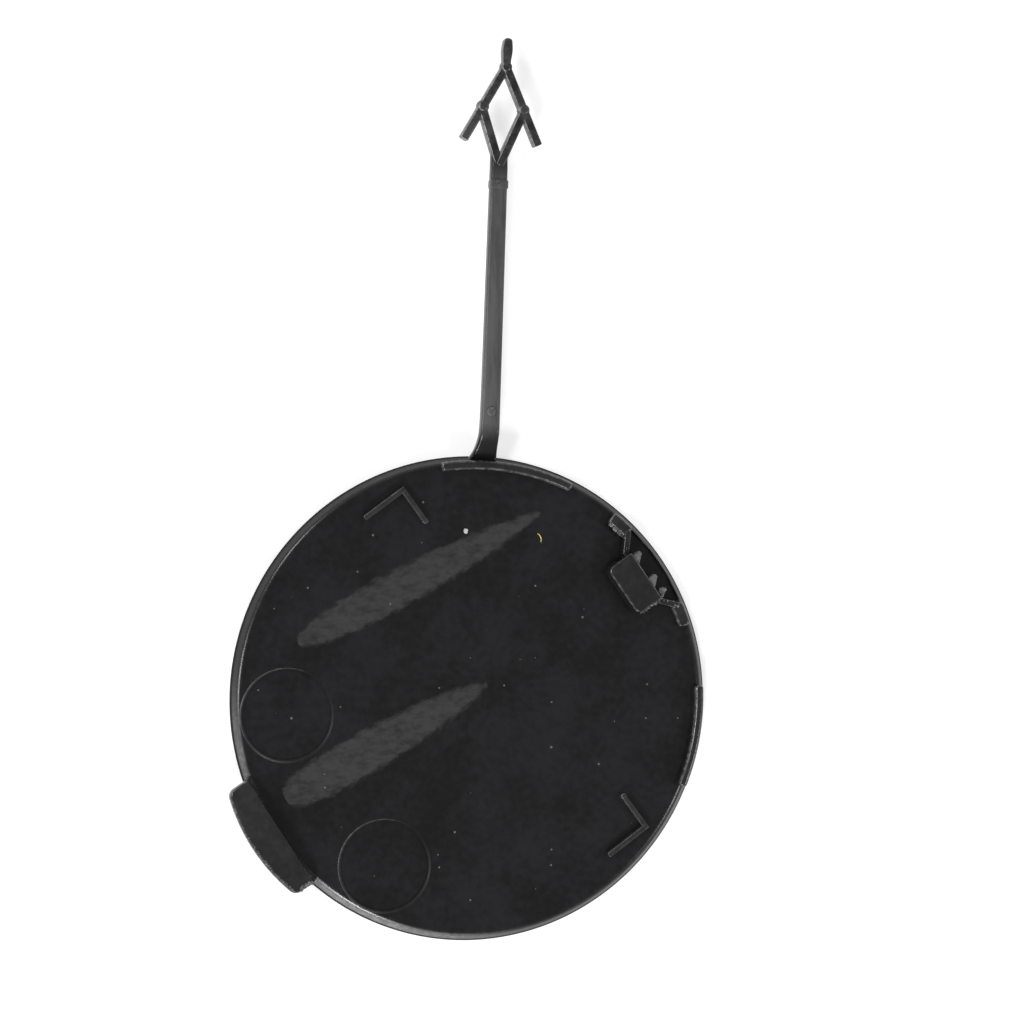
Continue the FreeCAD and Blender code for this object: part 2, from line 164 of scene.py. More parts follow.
def rounded_section(left: Array, right: Array, bottom: Array, top: Array, ease: float, foot: float) -> Array:
    """Rectangles with rounded corners, one for each station of a bar.

    Each corner is a quarter circle about a point set in from it by its radius, which is at most
    a little under half the bar's width.

    Args:
        left: Where each section's left side lies.
        right: Where its right side lies.
        bottom: Its lowest height.
        top: Its highest height.
        ease: The radius of its upper corners.
        foot: The radius of its lower corners.

    Returns:
        An array of stations by points by across and height.
    """
    corners = (
        (right, top, ease, -1, -1),
        (left, top, ease, 1, -1),
        (left, bottom, foot, 1, 1),
        (right, bottom, foot, -1, 1),
    )
    parts = []
    for number, (x, z, radius, inward, upward) in enumerate(corners):
        angle = QUARTER + number * math.pi / 2
        fitted = np.minimum(radius, WIDEST_CORNER * (right - left))
        across = (x + inward * fitted)[:, None] + fitted[:, None] * np.cos(angle)
        height = (z + upward * fitted)[:, None] + fitted[:, None] * np.sin(angle)
        parts.append(np.stack([across, height], axis=-1))
    return np.concatenate(parts, axis=1)


def carry(path: Array, side: Array, section: Array) -> Array:
    """Carries sections along a plan path: across goes along the side vector, height along +Z.

    Args:
        path: Stations by x and y.
        side: A unit vector to the right of the path at each station.
        section: Stations by points by across and height.

    Returns:
        An array of stations by points by x, y and z.
    """
    flat = path[:, None, :] + side[:, None, :] * section[..., :1]
    return np.concatenate([flat, section[..., 1:]], axis=-1)


def straight_path(start: Point, heading: float, along: Array) -> tuple[Array, Array]:
    """A straight plan path: the start plus the distance times the heading.

    Args:
        start: Where distance 0 lies.
        heading: Degrees clockwise from +Y.
        along: Distances.

    Returns:
        The path's points and the vectors to its right.
    """
    angle = math.radians(heading)
    ahead = np.array([math.sin(angle), math.cos(angle)])
    path = np.asarray(start) + along[:, None] * ahead
    return path, np.broadcast_to([ahead[1], -ahead[0]], path.shape)


def arc_path(radius: float, start: float, along: Array) -> tuple[Array, Array]:
    """A plan path round the cover's centre: angles are the start plus the distance over the radius.

    Args:
        radius: The arc's radius.
        start: Its first angle from +X, in degrees.
        along: Distances along the arc.

    Returns:
        The path's points and the vectors that point outwards.
    """
    angle = math.radians(start) + along / radius
    outward = np.stack([np.cos(angle), np.sin(angle)], axis=-1)
    return radius * outward, outward


def unit_circle(steps: int) -> Array:
    """Evenly spaced points of a circle of radius 1: cos a and sin a."""
    angle = np.linspace(0.0, 2 * math.pi, steps, endpoint=False)
    return np.stack([np.cos(angle), np.sin(angle)], axis=-1)


def turned(centre: Point | Array, radius: Array, height: Array) -> Array:
    """A solid of revolution: a profile of radius and height turned about an upright axis.

    Args:
        centre: Where the axis stands in plan.
        radius: The profile's radii, from the foot to the top.
        height: The profile's heights.

    Returns:
        Rings by points by x, y and z.
    """
    flat = np.asarray(centre) + radius[:, None, None] * unit_circle(ROUND_STEPS)
    tall = np.broadcast_to(height[:, None, None], (*flat.shape[:2], 1))
    return np.concatenate([flat, tall], axis=-1)


class Shell:
    """Gathers closed surfaces in millimetres and makes one piece of them."""

    def __init__(self, name: str) -> None:
        """Starts an empty shell with the piece's name."""
        self.name = name
        self.points: list[Array] = []
        self.faces: list[list[int]] = []
        self.count = 0

    def add(self, points: Array, faces: list[list[int]]) -> None:
        """Adds points and the faces between them.

        Args:
            points: Rows of x, y and z.
            faces: Point numbers of each face, counted from the first of these points.
        """
        flat = points.reshape(-1, 3)
        self.points.append(flat)
        self.faces += [[self.count + corner for corner in face] for face in faces]
        self.count += len(flat)

    def add_tube(self, rings: Array) -> None:
        """Adds a surface through closed rings, shut by a flat face at each end.

        Args:
            rings: Rings by points by x, y and z.
        """
        rows, columns = rings.shape[:2]
        faces = ring_faces(rows, columns).tolist()
        faces.append(list(range(columns))[::-1])
        faces.append(list(range((rows - 1) * columns, rows * columns)))
        self.add(rings, faces)

    def finish(self, material: Material) -> Piece:
        """Makes the mesh and its object, turned outwards and smooth, and rides it on the cover's body.

        Args:
            material: The finish that it gets.

        Returns:
            The new object.
        """
        mesh = bpy.data.meshes.new(self.name)
        mesh.from_pydata((np.concatenate(self.points) * MM).tolist(), [], self.faces)
        work = bmesh.new()
        work.from_mesh(mesh)
        bmesh.ops.remove_doubles(work, verts=work.verts, dist=MERGE_DISTANCE)
        bmesh.ops.recalc_face_normals(work, faces=work.faces)
        work.to_mesh(mesh)
        work.free()
        mesh.shade_smooth()
        mesh.set_sharp_from_angle(angle=SMOOTH_ANGLE)
        mesh.materials.append(material)
        piece = bpy.data.objects.new(self.name, mesh)
        bpy.context.scene.collection.objects.link(piece)
        weighted = piece.modifiers.new("flat_faces_stay_flat", "WEIGHTED_NORMAL")
        weighted.keep_sharp = True
        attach(piece, BODY)
        LOG.info("%s: %d points, %d faces", self.name, len(mesh.vertices), len(mesh.polygons))
        return piece


class Graph:
    """Adds shader nodes to a tree and joins them."""

    def __init__(self, tree: bpy.types.NodeTree) -> None:
        """Empties the tree."""
        self.tree = tree
        tree.nodes.clear()

    def add(self, kind: str, sockets: dict[str | int, object], **settings: object) -> bpy.types.Node:
        """Adds a node.

        Args:
            kind: The node's type name without its ShaderNode prefix.
            sockets: Input names or numbers, each with a value or the output that feeds it.
            settings: The node's own properties.

        Returns:
            The new node.
        """
        node = self.tree.nodes.new(f"ShaderNode{kind}")
        for key, value in settings.items():
            setattr(node, key, value)
        for key, value in sockets.items():
            if isinstance(value, Socket):
                self.tree.links.new(value, node.inputs[key])
            else:
                node.inputs[key].default_value = value
        return node

    def math(self, operation: str, first: object, second: object) -> Socket:
        """Joins two values by an arithmetic operation and returns the result."""
        return self.add("Math", {0: first, 1: second}, operation=operation).outputs[0]

    def product(self, first: object, *others: object) -> Socket:
        """Multiplies values in order and returns the result."""
        result = first
        for other in others:
            result = self.math("MULTIPLY", result, other)
        return result

    def blend(self, factor: Socket, first: Socket | Triple, second: Socket | Triple) -> Socket:
        """Goes from the first colour to the second as the factor goes from 0 to 1."""
        sockets = {0: factor}
        for number, end in zip(MIX_ENDS, (first, second)):
            sockets[number] = end if isinstance(end, Socket) else (*end, 1.0)
        return self.add("Mix", sockets, data_type="RGBA").outputs[MIX_RESULT]

    def ramp(self, value: Socket, low: float, high: float, first: float = 0.0, last: float = 1.0) -> Socket:
        """Goes smoothly from one number to another as a value goes from low to high.

        Args:
            value: The value that is read.
            low: Where the result is still the first number.
            high: Where the result has become the last number.
            first: The first number.
            last: The last number.

        Returns:
            The result.
        """
        node = self.add(
            "MapRange",
            {"Value": value, "From Min": low, "From Max": high, "To Min": first, "To Max": last},
            interpolation_type="SMOOTHSTEP",
        )
        return node.outputs[0]

    def noise(self, place: Socket, cloud: Cloud) -> Socket:
        """Cloudy noise of about 0.3 to 0.7 in one of the named patterns."""
        scale, detail, rough = cloud.value
        node = self.add("TexNoise", {"Vector": place, "Scale": scale, "Detail": detail, "Roughness": rough})
        return node.outputs["Fac"]

    def millimetres(self) -> Socket:
        """The place on the piece in millimetres of the frame."""
        coordinate = self.add("TexCoord", {}).outputs["Object"]
        scaled = self.add("VectorMath", {0: coordinate, 1: (1.0 / MM,) * 3}, operation="MULTIPLY")
        return scaled.outputs[0]

    def stretched(self, place: Socket, scale: Triple, turn: float = 0.0) -> Socket:
        """The place with its axes turned about +Z by degrees and stretched, for streaks."""
        rotation = (0.0, 0.0, math.radians(turn))
        return self.add("Mapping", {"Vector": place, "Rotation": rotation, "Scale": scale}).outputs[0]

    def axes(self, vector: Socket) -> list[Socket]:
        """The parts of a vector along X, Y and Z."""
        return list(self.add("SeparateXYZ", {0: vector}).outputs)

    def toward(self, vector: Socket, degrees: float) -> Socket:
        """How far a vector goes in a plan direction: x cos a + y sin a."""
        turn = math.radians(degrees)
        x, y, _ = self.axes(vector)
        return self.math("ADD", self.product(x, math.cos(turn)), self.product(y, math.sin(turn)))


@dataclass(frozen=True)
class Scuff:
    """A grey rubbed smear on the plate, blunt at its start and drawn out to a point at its end."""

    start: Point
    end: Point
    half_width: float
    bluntness: float
    taper: float
    ragged: float = 2.2
    soft: float = 0.45
    edge_grain: Point = (0.6, 1.1)

    def mask(self, graph: Graph, place: Socket) -> Socket:
        """Where the smear is.

        With t from 0 to 1 along it, its half width is half_width * t^bluntness * (1 - t)^taper,
        scaled to reach half_width at its widest, with noise added to its edge.

        Args:
            graph: The tree that the nodes go into.
            place: The place in millimetres.

        Returns:
            1 on the smear and 0 off it.
        """
        dx, dy = self.end[0] - self.start[0], self.end[1] - self.start[1]
        length = math.hypot(dx, dy)
        local = graph.add(
            "Mapping",
            {
                "Vector": place,
                "Location": (*self.start, 0.0),
                "Rotation": (0.0, 0.0, math.atan2(dy, dx)),
                "Scale": (length, 1.0, 1.0),
            },
            vector_type="TEXTURE",
        ).outputs[0]
        part, aside, _ = graph.axes(local)
        along = graph.add("Clamp", {"Value": part}).outputs[0]
        peak = self.bluntness / (self.bluntness + self.taper)
        widest = peak**self.bluntness * (1.0 - peak) ** self.taper
        rise = graph.math("POWER", along, self.bluntness)
        fall = graph.math("POWER", graph.math("SUBTRACT", 1.0, along), self.taper)
        half = graph.product(rise, fall, self.half_width / widest)
        grain = (length * self.edge_grain[0], self.edge_grain[1], 0.0)
        edge = graph.noise(graph.stretched(local, grain), Cloud.STREAK)
        wander = graph.product(graph.math("SUBTRACT", edge, 0.5), self.ragged)
        reach = graph.math("ADD", half, wander)
        inside = graph.math("SUBTRACT", reach, graph.math("ABSOLUTE", aside, 0.0))
        shape = graph.ramp(inside, -self.soft, self.soft)
        return graph.product(
            shape, graph.math("GREATER_THAN", part, 0.0), graph.math("LESS_THAN", part, 1.0)
        )


@dataclass(frozen=True)
class Dusting:
    """Specks of dust: small round spots in some cells of a plan grid, of chance size and place."""

    cells: float = 0.42
    largest: float = 0.075
    bare_share: float = 0.89
    strength: float = 0.75
    colour: Triple = (0.13, 0.13, 0.12)

    def mask(self, graph: Graph, place: Socket) -> Socket:
        """Where the specks are.

        Args:
            graph: The tree that the nodes go into.
            place: The place in millimetres.

        Returns:
            The strength on a speck and 0 off it.
        """
        grid = {"Vector": place, "Scale": self.cells}
        cells = graph.add("TexVoronoi", grid, voronoi_dimensions="2D").outputs
        chance = graph.add("SeparateColor", {0: cells["Color"]}).outputs
        near = graph.math("LESS_THAN", cells["Distance"], graph.product(chance[1], self.largest))
        return graph.product(near, graph.math("GREATER_THAN", chance[0], self.bare_share), self.strength)


@dataclass(frozen=True)
class MouldedPlastic:
    """Black moulded plastic: a dark colour with cloudy haze, fine grain, wear, and painted highlights and
    shade.

    The pairs are ranges: where an effect starts and where it is full. Angles are in degrees from +X,
    and an effect whose strength, angle or range is left at 0 is off.
    """

    name: str
    dark: Triple
    haze: Triple
    roughness: float
    gloss: float
    streak: Triple = (1.0, 1.0, 1.0)
    cloud_share: float = 0.7
    haze_range: Point = (0.36, 0.66)
    mottle_range: Point = (0.3, 0.7)
    rough_spread: Point = (-0.02, 0.03)
    grain_depth: float = 0.00002
    grain_strength: float = 0.25
    scuffs: tuple[Scuff, ...] = ()
    scuff_colour: Triple = grey(0.03)
    scuff_streak: Triple = (0.5, 0.9, 1.0)
    scuff_turn: float = -28.0
    scuff_range: Point = (0.25, 0.62)
    scuff_least: float = 0.35
    scuff_matt: float = 0.2
    dust: Dusting = Dusting()
    face_height: float = 2.35
    # Painted shade: below this band the colour turns darker, and matt, for the dark outline of shade round
    # the rim.
    shaded_rim_band: Point = (0.0, 0.0)
    rim_shade_colour: Triple = grey(0.002)
    rim_matt: float = 0.5
    # Grey on slanted edges: partly wear, partly painted highlight.
    edge_wear_and_highlight: float = 0.0
    worn_highlit_edge_colour: Triple = grey(0.16)
    edge_evenness: float = 0.08
    level_range: Point = (0.97, 0.84)
    upright_range: Point = (0.1, 0.4)
    patch_range: Point = (0.42, 0.66)
    # Painted highlight: the edge grey is stronger on the side of the cover toward the lamps.
    lit_side: float = 0.0
    lit_side_range: Point = (18.0, 34.5)
    lit_side_least: float = 0.06
    # Painted highlight: the edge grey is stronger on faces turned toward a lamp's direction.
    highlight_facing: float = 0.0
    facing_range: Point = (0.0, 0.36)
    facing_least: float = 0.05
    # Painted shade: the strap's sloped root is darker, and glossier, up to the end of this range.
    root_fade: Point = (0.0, 0.0)
    root_shade_colour: Triple = grey(0.005)
    root_gloss: float = 0.12
    end_fade: Point = (0.0, 0.0)
    end_colour: Triple = grey(0.024)

    def build(self) -> Material:
        """Makes the material.

        Returns:
            A node material that reads Object coordinates and the surface's own normal.
        """
        material = bpy.data.materials.new(self.name)
        material.use_nodes = True
        graph = Graph(material.node_tree)
        place = graph.millimetres()
        streaked = graph.stretched(place, self.streak)
        mottle = graph.noise(streaked, Cloud.MOTTLE)
        large = graph.product(graph.noise(streaked, Cloud.HAZE), self.cloud_share)
        mixed = graph.math("ADD", large, graph.product(mottle, 1.0 - self.cloud_share))
        colour = graph.blend(graph.ramp(mixed, *self.haze_range), self.dark, self.haze)
        spread = [self.roughness + change for change in self.rough_spread]
        rough = graph.ramp(mottle, *self.mottle_range, *spread)
        _, outward, height = graph.axes(place)
        # Grey edges: partly wear, partly painted highlight.
        if self.edge_wear_and_highlight > 0.0:
            colour = self.worn_and_highlit_edges(graph, place, colour)
        # Painted shade on the strap's sloped root: a darker colour there, plus extra gloss.
        if self.root_fade[1] > 0.0:
            unshaded = graph.ramp(outward, *self.root_fade)
            colour = graph.blend(unshaded, self.root_shade_colour, colour)
            shine = graph.product(graph.math("SUBTRACT", 1.0, unshaded), self.root_gloss)
            rough = graph.math("SUBTRACT", rough, shine)
        if self.end_fade[1] > 0.0:
            colour = graph.blend(graph.ramp(outward, *self.end_fade), colour, self.end_colour)
        if self.scuffs:
            colour, rough = self.wear(graph, place, colour, rough)
        # Painted shade: the rim's lower band is darker, and matt.
        if self.shaded_rim_band[1] > 0.0:
            inner = graph.ramp(height, *self.shaded_rim_band)
            colour = graph.blend(inner, self.rim_shade_colour, colour)
            matt = graph.product(graph.math("SUBTRACT", 1.0, inner), self.rim_matt)
            rough = graph.math("ADD", rough, matt)
        grain = graph.noise(place, Cloud.GRAIN)
        bump = graph.add(
            "Bump", {"Height": grain, "Strength": self.grain_strength, "Distance": self.grain_depth}
        )
        shader = graph.add(
            "BsdfPrincipled",
            {
                "Base Color": colour,
                "Roughness": rough,
                "Specular IOR Level": self.gloss,
                "Normal": bump.outputs[0],
            },
        )
        graph.add("OutputMaterial", {"Surface": shader.outputs[0]})
        return material

    def worn_and_highlit_edges(self, graph: Graph, place: Socket, colour: Socket) -> Socket:
        """Rubs the edges grey in patches, partly as wear and partly as painted highlight: where the surface
        slants, between level and upright.

        Args:
            graph: The tree that the nodes go into.
            place: The place in millimetres.
            colour: The plastic's colour.

        Returns:
            The colour with worn edges and painted edge highlights.
        """
        normal = graph.add("NewGeometry", {}).outputs["Normal"]
        upward = graph.axes(normal)[2]
        off_level = graph.ramp(upward, *self.level_range)
        slanted = graph.product(off_level, graph.ramp(upward, *self.upright_range))
        patches = graph.ramp(graph.noise(place, Cloud.PATCH), *self.patch_range, self.edge_evenness, 1.0)
        strength = graph.product(slanted, patches, self.edge_wear_and_highlight)
        # Painted highlight: stronger on the side of the cover toward the lamps.
        if self.lit_side > 0.0:
            side = graph.toward(place, self.lit_side)
            strength = graph.product(strength, graph.ramp(side, *self.lit_side_range, self.lit_side_least, 1.0))
        # Painted highlight: stronger where the surface faces a lamp's direction.
        if self.highlight_facing > 0.0:
            facing = graph.toward(normal, self.highlight_facing)
            strength = graph.product(strength, graph.ramp(facing, *self.facing_range, self.facing_least, 1.0))
        return graph.blend(strength, colour, self.worn_highlit_edge_colour)

    def wear(self, graph: Graph, place: Socket, colour: Socket, rough: Socket) -> tuple[Socket, Socket]:
        """Adds the smears and specks of dust to the plate's inner side.

        Args:
            graph: The tree that the nodes go into.
            place: The place in millimetres.
            colour: The clean plastic's colour.
            rough: The clean plastic's roughness.

        Returns:
            The worn colour and roughness.
        """
        on_face = graph.math("GREATER_THAN", graph.axes(place)[2], self.face_height)
        worn = self.scuffs[0].mask(graph, place)
        for scuff in self.scuffs[1:]:
            worn = graph.math("MAXIMUM", worn, scuff.mask(graph, place))
        streaks = graph.noise(graph.stretched(place, self.scuff_streak, self.scuff_turn), Cloud.STREAK)
        worn = graph.product(worn, on_face, graph.ramp(streaks, *self.scuff_range, self.scuff_least, 1.0))
        colour = graph.blend(worn, colour, self.scuff_colour)
        rough = graph.math("ADD", rough, graph.product(worn, self.scuff_matt))
        specks = graph.product(self.dust.mask(graph, place), on_face)
        return graph.blend(specks, colour, self.dust.colour), rough


@dataclass
class Plate:
    """Round plate with a rolled front edge, a bevelled back edge and a sunk pocket in front of the clip."""

    radius: float = 35.0
    thickness: float = 2.4
    parting: float = 1.0
    front_round: float = 0.8
    bevel: float = 0.95
    edge_ease: float = 1.1
    ridge_start: float = 0.6
    ridge_drop: float = 0.8
    ridge_steps: int = 9
    pocket_depth: float = 0.7
    pocket_inner: float = 31.0
    pocket_shoulder: float = 32.6
    pocket_mouth: float = 8.6
    pocket_width: float = 12.2
    pocket_rim: float = 0.97
    pocket_centre: float = 32.7
    lip: float = 0.1
    clear: float = 0.01
    face_step: float = 0.3
    spokes: int = 900
    floor_rings: tuple[float, ...] = (0.0, 0.3, 0.8)
    floor_fillet: tuple[Point, ...] = ((0.06, 0.0), (0.01, 0.05), (0.0, 0.15))
    side_rings: tuple[float, ...] = (0.02, 0.2, 0.4, 0.6, 0.8, 0.95, 1.0)
    edge_fillet: tuple[Point, ...] = ((0.1, 0.13), (0.02, 0.03), (0.0, -0.05))
    face_rings: tuple[float, ...] = (0.97, 0.7, 0.4, 0.1, 0.0)

    def directions(self) -> tuple[Array, Array]:
        """Angles of rays from the pocket's centre, and how far the pocket reaches along each.

        The pocket is a shape with straight sides: along a ray it reaches to the nearest side,
        which lies at d / cos(ray angle - side angle) for a side at distance d.

        Returns:
            The angles and the reaches.
        """
        outer = self.radius - self.pocket_rim
        half, mouth = self.pocket_width / 2, self.pocket_mouth / 2
        edge = math.sqrt(outer**2 - half**2)
        upper = [(self.pocket_inner, mouth), (self.pocket_shoulder, half), (edge, half), (outer, mouth / 2)]
        corners = np.array(upper + [(along, -across) for along, across in upper[::-1]])
        corners[:, 0] -= self.pocket_centre
        ray = np.linspace(-math.pi, math.pi, self.spokes, endpoint=False)
        ray = np.unique(np.concatenate([ray, np.arctan2(corners[:, 1], corners[:, 0])]))
        step = np.roll(corners, -1, axis=0) - corners
        normal = np.stack([-step[:, 1], step[:, 0]], axis=-1)
        normal /= np.linalg.norm(normal, axis=1, keepdims=True)
        distance = np.sum(normal * corners, axis=1)
        normal *= np.sign(distance)[:, None]
        facing = np.cos(ray)[:, None] * normal[:, 0] + np.sin(ray)[:, None] * normal[:, 1]
        least = 1e-6
        reach = np.where(facing > least, np.abs(distance) / np.maximum(facing, least), np.inf)
        return ray, reach.min(axis=1)

    def circle(self, ray: Array, radius: float) -> Array:
        """Where rays from the pocket's centre meet a circle about the plate's centre.

        With c the pocket's centre and d a ray's direction, t = -c.d + sqrt((c.d)^2 - c^2 + r^2).

        Args:
            ray: The rays' angles.
            radius: The circle's radius.

        Returns:
            The distance along each ray.
        """
        shift = self.pocket_centre * np.cos(ray)
        return -shift + np.sqrt(np.maximum(shift**2 - self.pocket_centre**2 + radius**2, 0.0))

    def rings(self) -> Array:
        """The plate as rings from the pocket's floor, over the inner side and the rim, to the outer face.

        A ring of the pocket is its outline, moved in or out. A ring of the plate is a circle about
        the plate's centre. Rounded edges follow cos a and sin a. The first and last rings are points.

        Returns:
            Rings by points by along, across and height.
        """
        ray, reach = self.directions()
        top, floor = self.thickness, self.thickness - self.pocket_depth
        lip = reach + self.lip
        least = lip + self.clear
        spread = [(reach * part, floor) for part in self.floor_rings]
        spread += [(reach - inward, floor + up) for inward, up in self.floor_fillet]
        spread.append((reach, top - self.lip))
        spread += [
            (reach + self.lip * (1 - math.cos(a)), top - self.lip * (1 - math.sin(a))) for a in QUARTER[1:]
        ]
        ease = self.edge_ease
        ridge = self.radius - self.bevel - self.ridge_start * ease
        inner = np.maximum(self.circle(ray, ridge), least)
        spread += [(lip + (inner - lip) * part, top) for part in self.side_rings]
        slope = math.atan2(self.thickness - self.parting, self.bevel)
        for part in np.linspace(0.0, 1.0, self.ridge_steps)[1:]:
            run = self.circle(ray, ridge + ease * math.sin(part * slope))
            drop = self.ridge_drop * ease * (1 - math.cos(part * slope))
            spread.append((np.maximum(run, least + self.clear * part), top - drop))
        edge, roll = self.radius, self.front_round
        spread += [(self.circle(ray, edge - inward), self.parting + up) for inward, up in self.edge_fillet]
        spread += [
            (self.circle(ray, edge - roll * (1 - math.cos(a))), roll * (1 - math.sin(a))) for a in QUARTER
        ]
        spread.append((self.circle(ray, edge - roll - self.face_step), 0.0))
        ahead, aside = np.cos(ray), np.sin(ray)
        rings = [
            np.stack([self.pocket_centre + out * ahead, out * aside, np.full_like(ray, height)], axis=-1)
            for out, height in spread
        ]
        rings += [rings[-1] * (part, part, 1.0) for part in self.face_rings]
        return np.stack(rings)

    def build(self, finish: Material) -> Piece:
        """Makes the plate, which stands for the solid part."""
        shell = Shell("plate")
        shell.add_tube(Axis.CLIP.turn(self.rings()))
        piece = shell.finish(finish)
        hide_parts(NODE)
        return piece


@dataclass
class RimFeatures:
    """Low curved walls on the rim, and the block and rib at each end of the pocket."""

    outer: float = 34.4
    thickness: float = 1.35
    foot: float = 1.2
    wall_top: float = 3.9
    ease: float = 0.55
    end: float = 0.45
    end_drop: float = 0.6
    arc_steps: int = 48
    walls: tuple[Point, ...] = ((64.6, 33.4), (-22.8, 25.6))
    block_outer: float = 34.2
    block_thickness: float = 1.9
    block_top: float = 3.6
    block_start: float = 10.9
    block_sweep: float = 6.0
    rib_ends: tuple[Point, Point] = ((30.3, 3.9), (32.75, 6.75))
    rib_width: float = 0.85
    rib_top: float = 3.88
    rib_end: float = 0.34
    rib_ease: float = 0.15
    rib_steps: int = 6

    def arc_rings(self, outer: float, thickness: float, top: float, start: float, sweep: float) -> Array:
        """A rounded bar that follows the rim.

        Args:
            outer: Its outer radius.
            thickness: Its width.
            top: Its height.
            start: Its first angle from +X, in degrees.
            sweep: The angle that it covers.

        Returns:
            Rings by points by x, y and z.
        """
        middle = outer - thickness / 2
        length = middle * math.radians(sweep)
        along = stations(length, self.end, self.arc_steps)
        inset = end_inset(along, length, self.end)
        half = thickness / 2 - inset
        low, high = np.full_like(half, self.foot), top - self.end_drop * inset
        return carry(*arc_path(middle, start, along), rounded_section(-half, half, low, high, self.ease, 0.0))

    def rib_rings(self, sign: float) -> Array:
        """The rib on one side of the clip, from the clip to the block.

        Args:
            sign: 1 for the side that lies anticlockwise of the clip, -1 for the other.

        Returns:
            Rings by points by x, y and z.
        """
        ends = Axis.CLIP.turn(np.array([(along, sign * across) for along, across in self.rib_ends]))
        step = ends[1] - ends[0]
        length = float(np.hypot(*step))
        along = stations(length, self.rib_end, self.rib_steps)
        inset = end_inset(along, length, self.rib_end)
        half = self.rib_width / 2 - inset
        low, high = np.full_like(half, self.foot), self.rib_top - inset
        heading = math.degrees(math.atan2(step[0], step[1]))
        section = rounded_section(-half, half, low, high, self.rib_ease, 0.0)
        return carry(*straight_path(tuple(ends[0]), heading, along), section)

    def build(self, finish: Material) -> Piece:
        """Makes the walls, blocks and ribs as one piece."""
        shell = Shell("rim_walls")
        for start, sweep in self.walls:
            shell.add_tube(self.arc_rings(self.outer, self.thickness, self.wall_top, start, sweep))
        block = (self.block_outer, self.block_thickness, self.block_top)
        for sign in BOTH_SIDES:
            first = Axis.CLIP.value + sign * self.block_start
            first -= self.block_sweep if sign < 0 else 0.0
            shell.add_tube(self.arc_rings(*block, first, self.block_sweep))
            shell.add_tube(self.rib_rings(sign))
        return shell.finish(finish)


@dataclass
class SnapClip:
    """Snap clip: an arch with two wedge noses on its outer leg.

    nose_shape is the outline of a nose in parts of its reach and of half its width. nose_levels are
    heights above its lowest point, each with the part of its reach that is left there.
    """

    inner: float = 26.65
    outer: float = 31.0
    width: float = 8.0
    foot: float = 1.2
    top: float = 5.2
    wall: float = 1.15
    ease: float = 0.38
    end_ease: float = 0.2
    corner: float = 0.9
    steps: int = 8
    nose_places: tuple[float, ...] = (-1.45, 2.65)
    nose_width: float = 1.65
    nose_reach: float = 1.25
    nose_low: float = 3.5
    nose_shape: tuple[Point, ...] = (
        (-0.24, -1.0), (0.12, -0.8), (0.9, 0.2), (1.0, 0.4), (1.0, 0.8), (0.92, 1.0), (-0.24, 1.0),
    )
    nose_levels: tuple[Point, ...] = ((0.0, 0.88), (0.1, 1.0), (1.2, 1.0), (1.35, 0.84))

    def arch(self) -> Array:
        """The arch: an upside-down U carried across the clip, its inner corners rounded in plan.

        Returns:
            Rings by points by along, across and height.
        """
        along = stations(self.width, self.corner, self.steps)
        soft = end_inset(along, self.width, self.end_ease)
        left = self.inner + end_inset(along, self.width, self.corner)
        right, top = self.outer - soft, self.top - soft
        inside = np.full_like(left, self.top - self.wall)
        foot = np.full_like(left, self.foot)
        legs = (left + self.wall, right - self.wall)
        parts = [np.stack([right, foot], axis=-1)[:, None]]
        for x, inward, first in ((right, -1, 0.0), (left, 1, math.pi / 2)):
            across = (x + inward * self.ease)[:, None] + self.ease * np.cos(QUARTER + first)
            height = (top - self.ease)[:, None] + self.ease * np.sin(QUARTER + first)
            parts.append(np.stack([across, height], axis=-1))
        tail = ((left, foot), (legs[0], foot), (legs[0], inside), (legs[1], inside), (legs[1], foot))
        parts += [np.stack(point, axis=-1)[:, None] for point in tail]
        section = np.concatenate(parts, axis=1)
        across = np.broadcast_to((along - self.width / 2)[:, None], section.shape[:2])
        return np.stack([section[..., 0], across, section[..., 1]], axis=-1)

    def nose(self, place: float) -> Array:
        """A wedge nose: a slanted outline carried upwards and drawn in at its top and bottom.

        Args:
            place: Where its middle lies across the clip.

        Returns:
            Rings by points by along, across and height.
        """
        outline = np.array(self.nose_shape) * (self.nose_reach, self.nose_width / 2)
        above, drawn = np.array(self.nose_levels).T
        flat = outline[None] * np.stack([drawn, np.ones_like(drawn)], axis=-1)[:, None]
        flat = flat + np.array([self.outer, place])
        tall = np.broadcast_to((self.nose_low + above)[:, None, None], (*flat.shape[:2], 1))
        return np.concatenate([flat, tall], axis=-1)

    def build(self, finish: Material) -> Piece:
        """Makes the clip's arch."""
        shell = Shell("snap_clip")
        shell.add_tube(Axis.CLIP.turn(self.arch()))
        return shell.finish(finish)

    def build_noses(self, finish: Material) -> Piece:
        """Makes both noses as one piece."""
        shell = Shell("clip_noses")
        for place in self.nose_places:
            shell.add_tube(Axis.CLIP.turn(self.nose(place)))
        return shell.finish(finish)


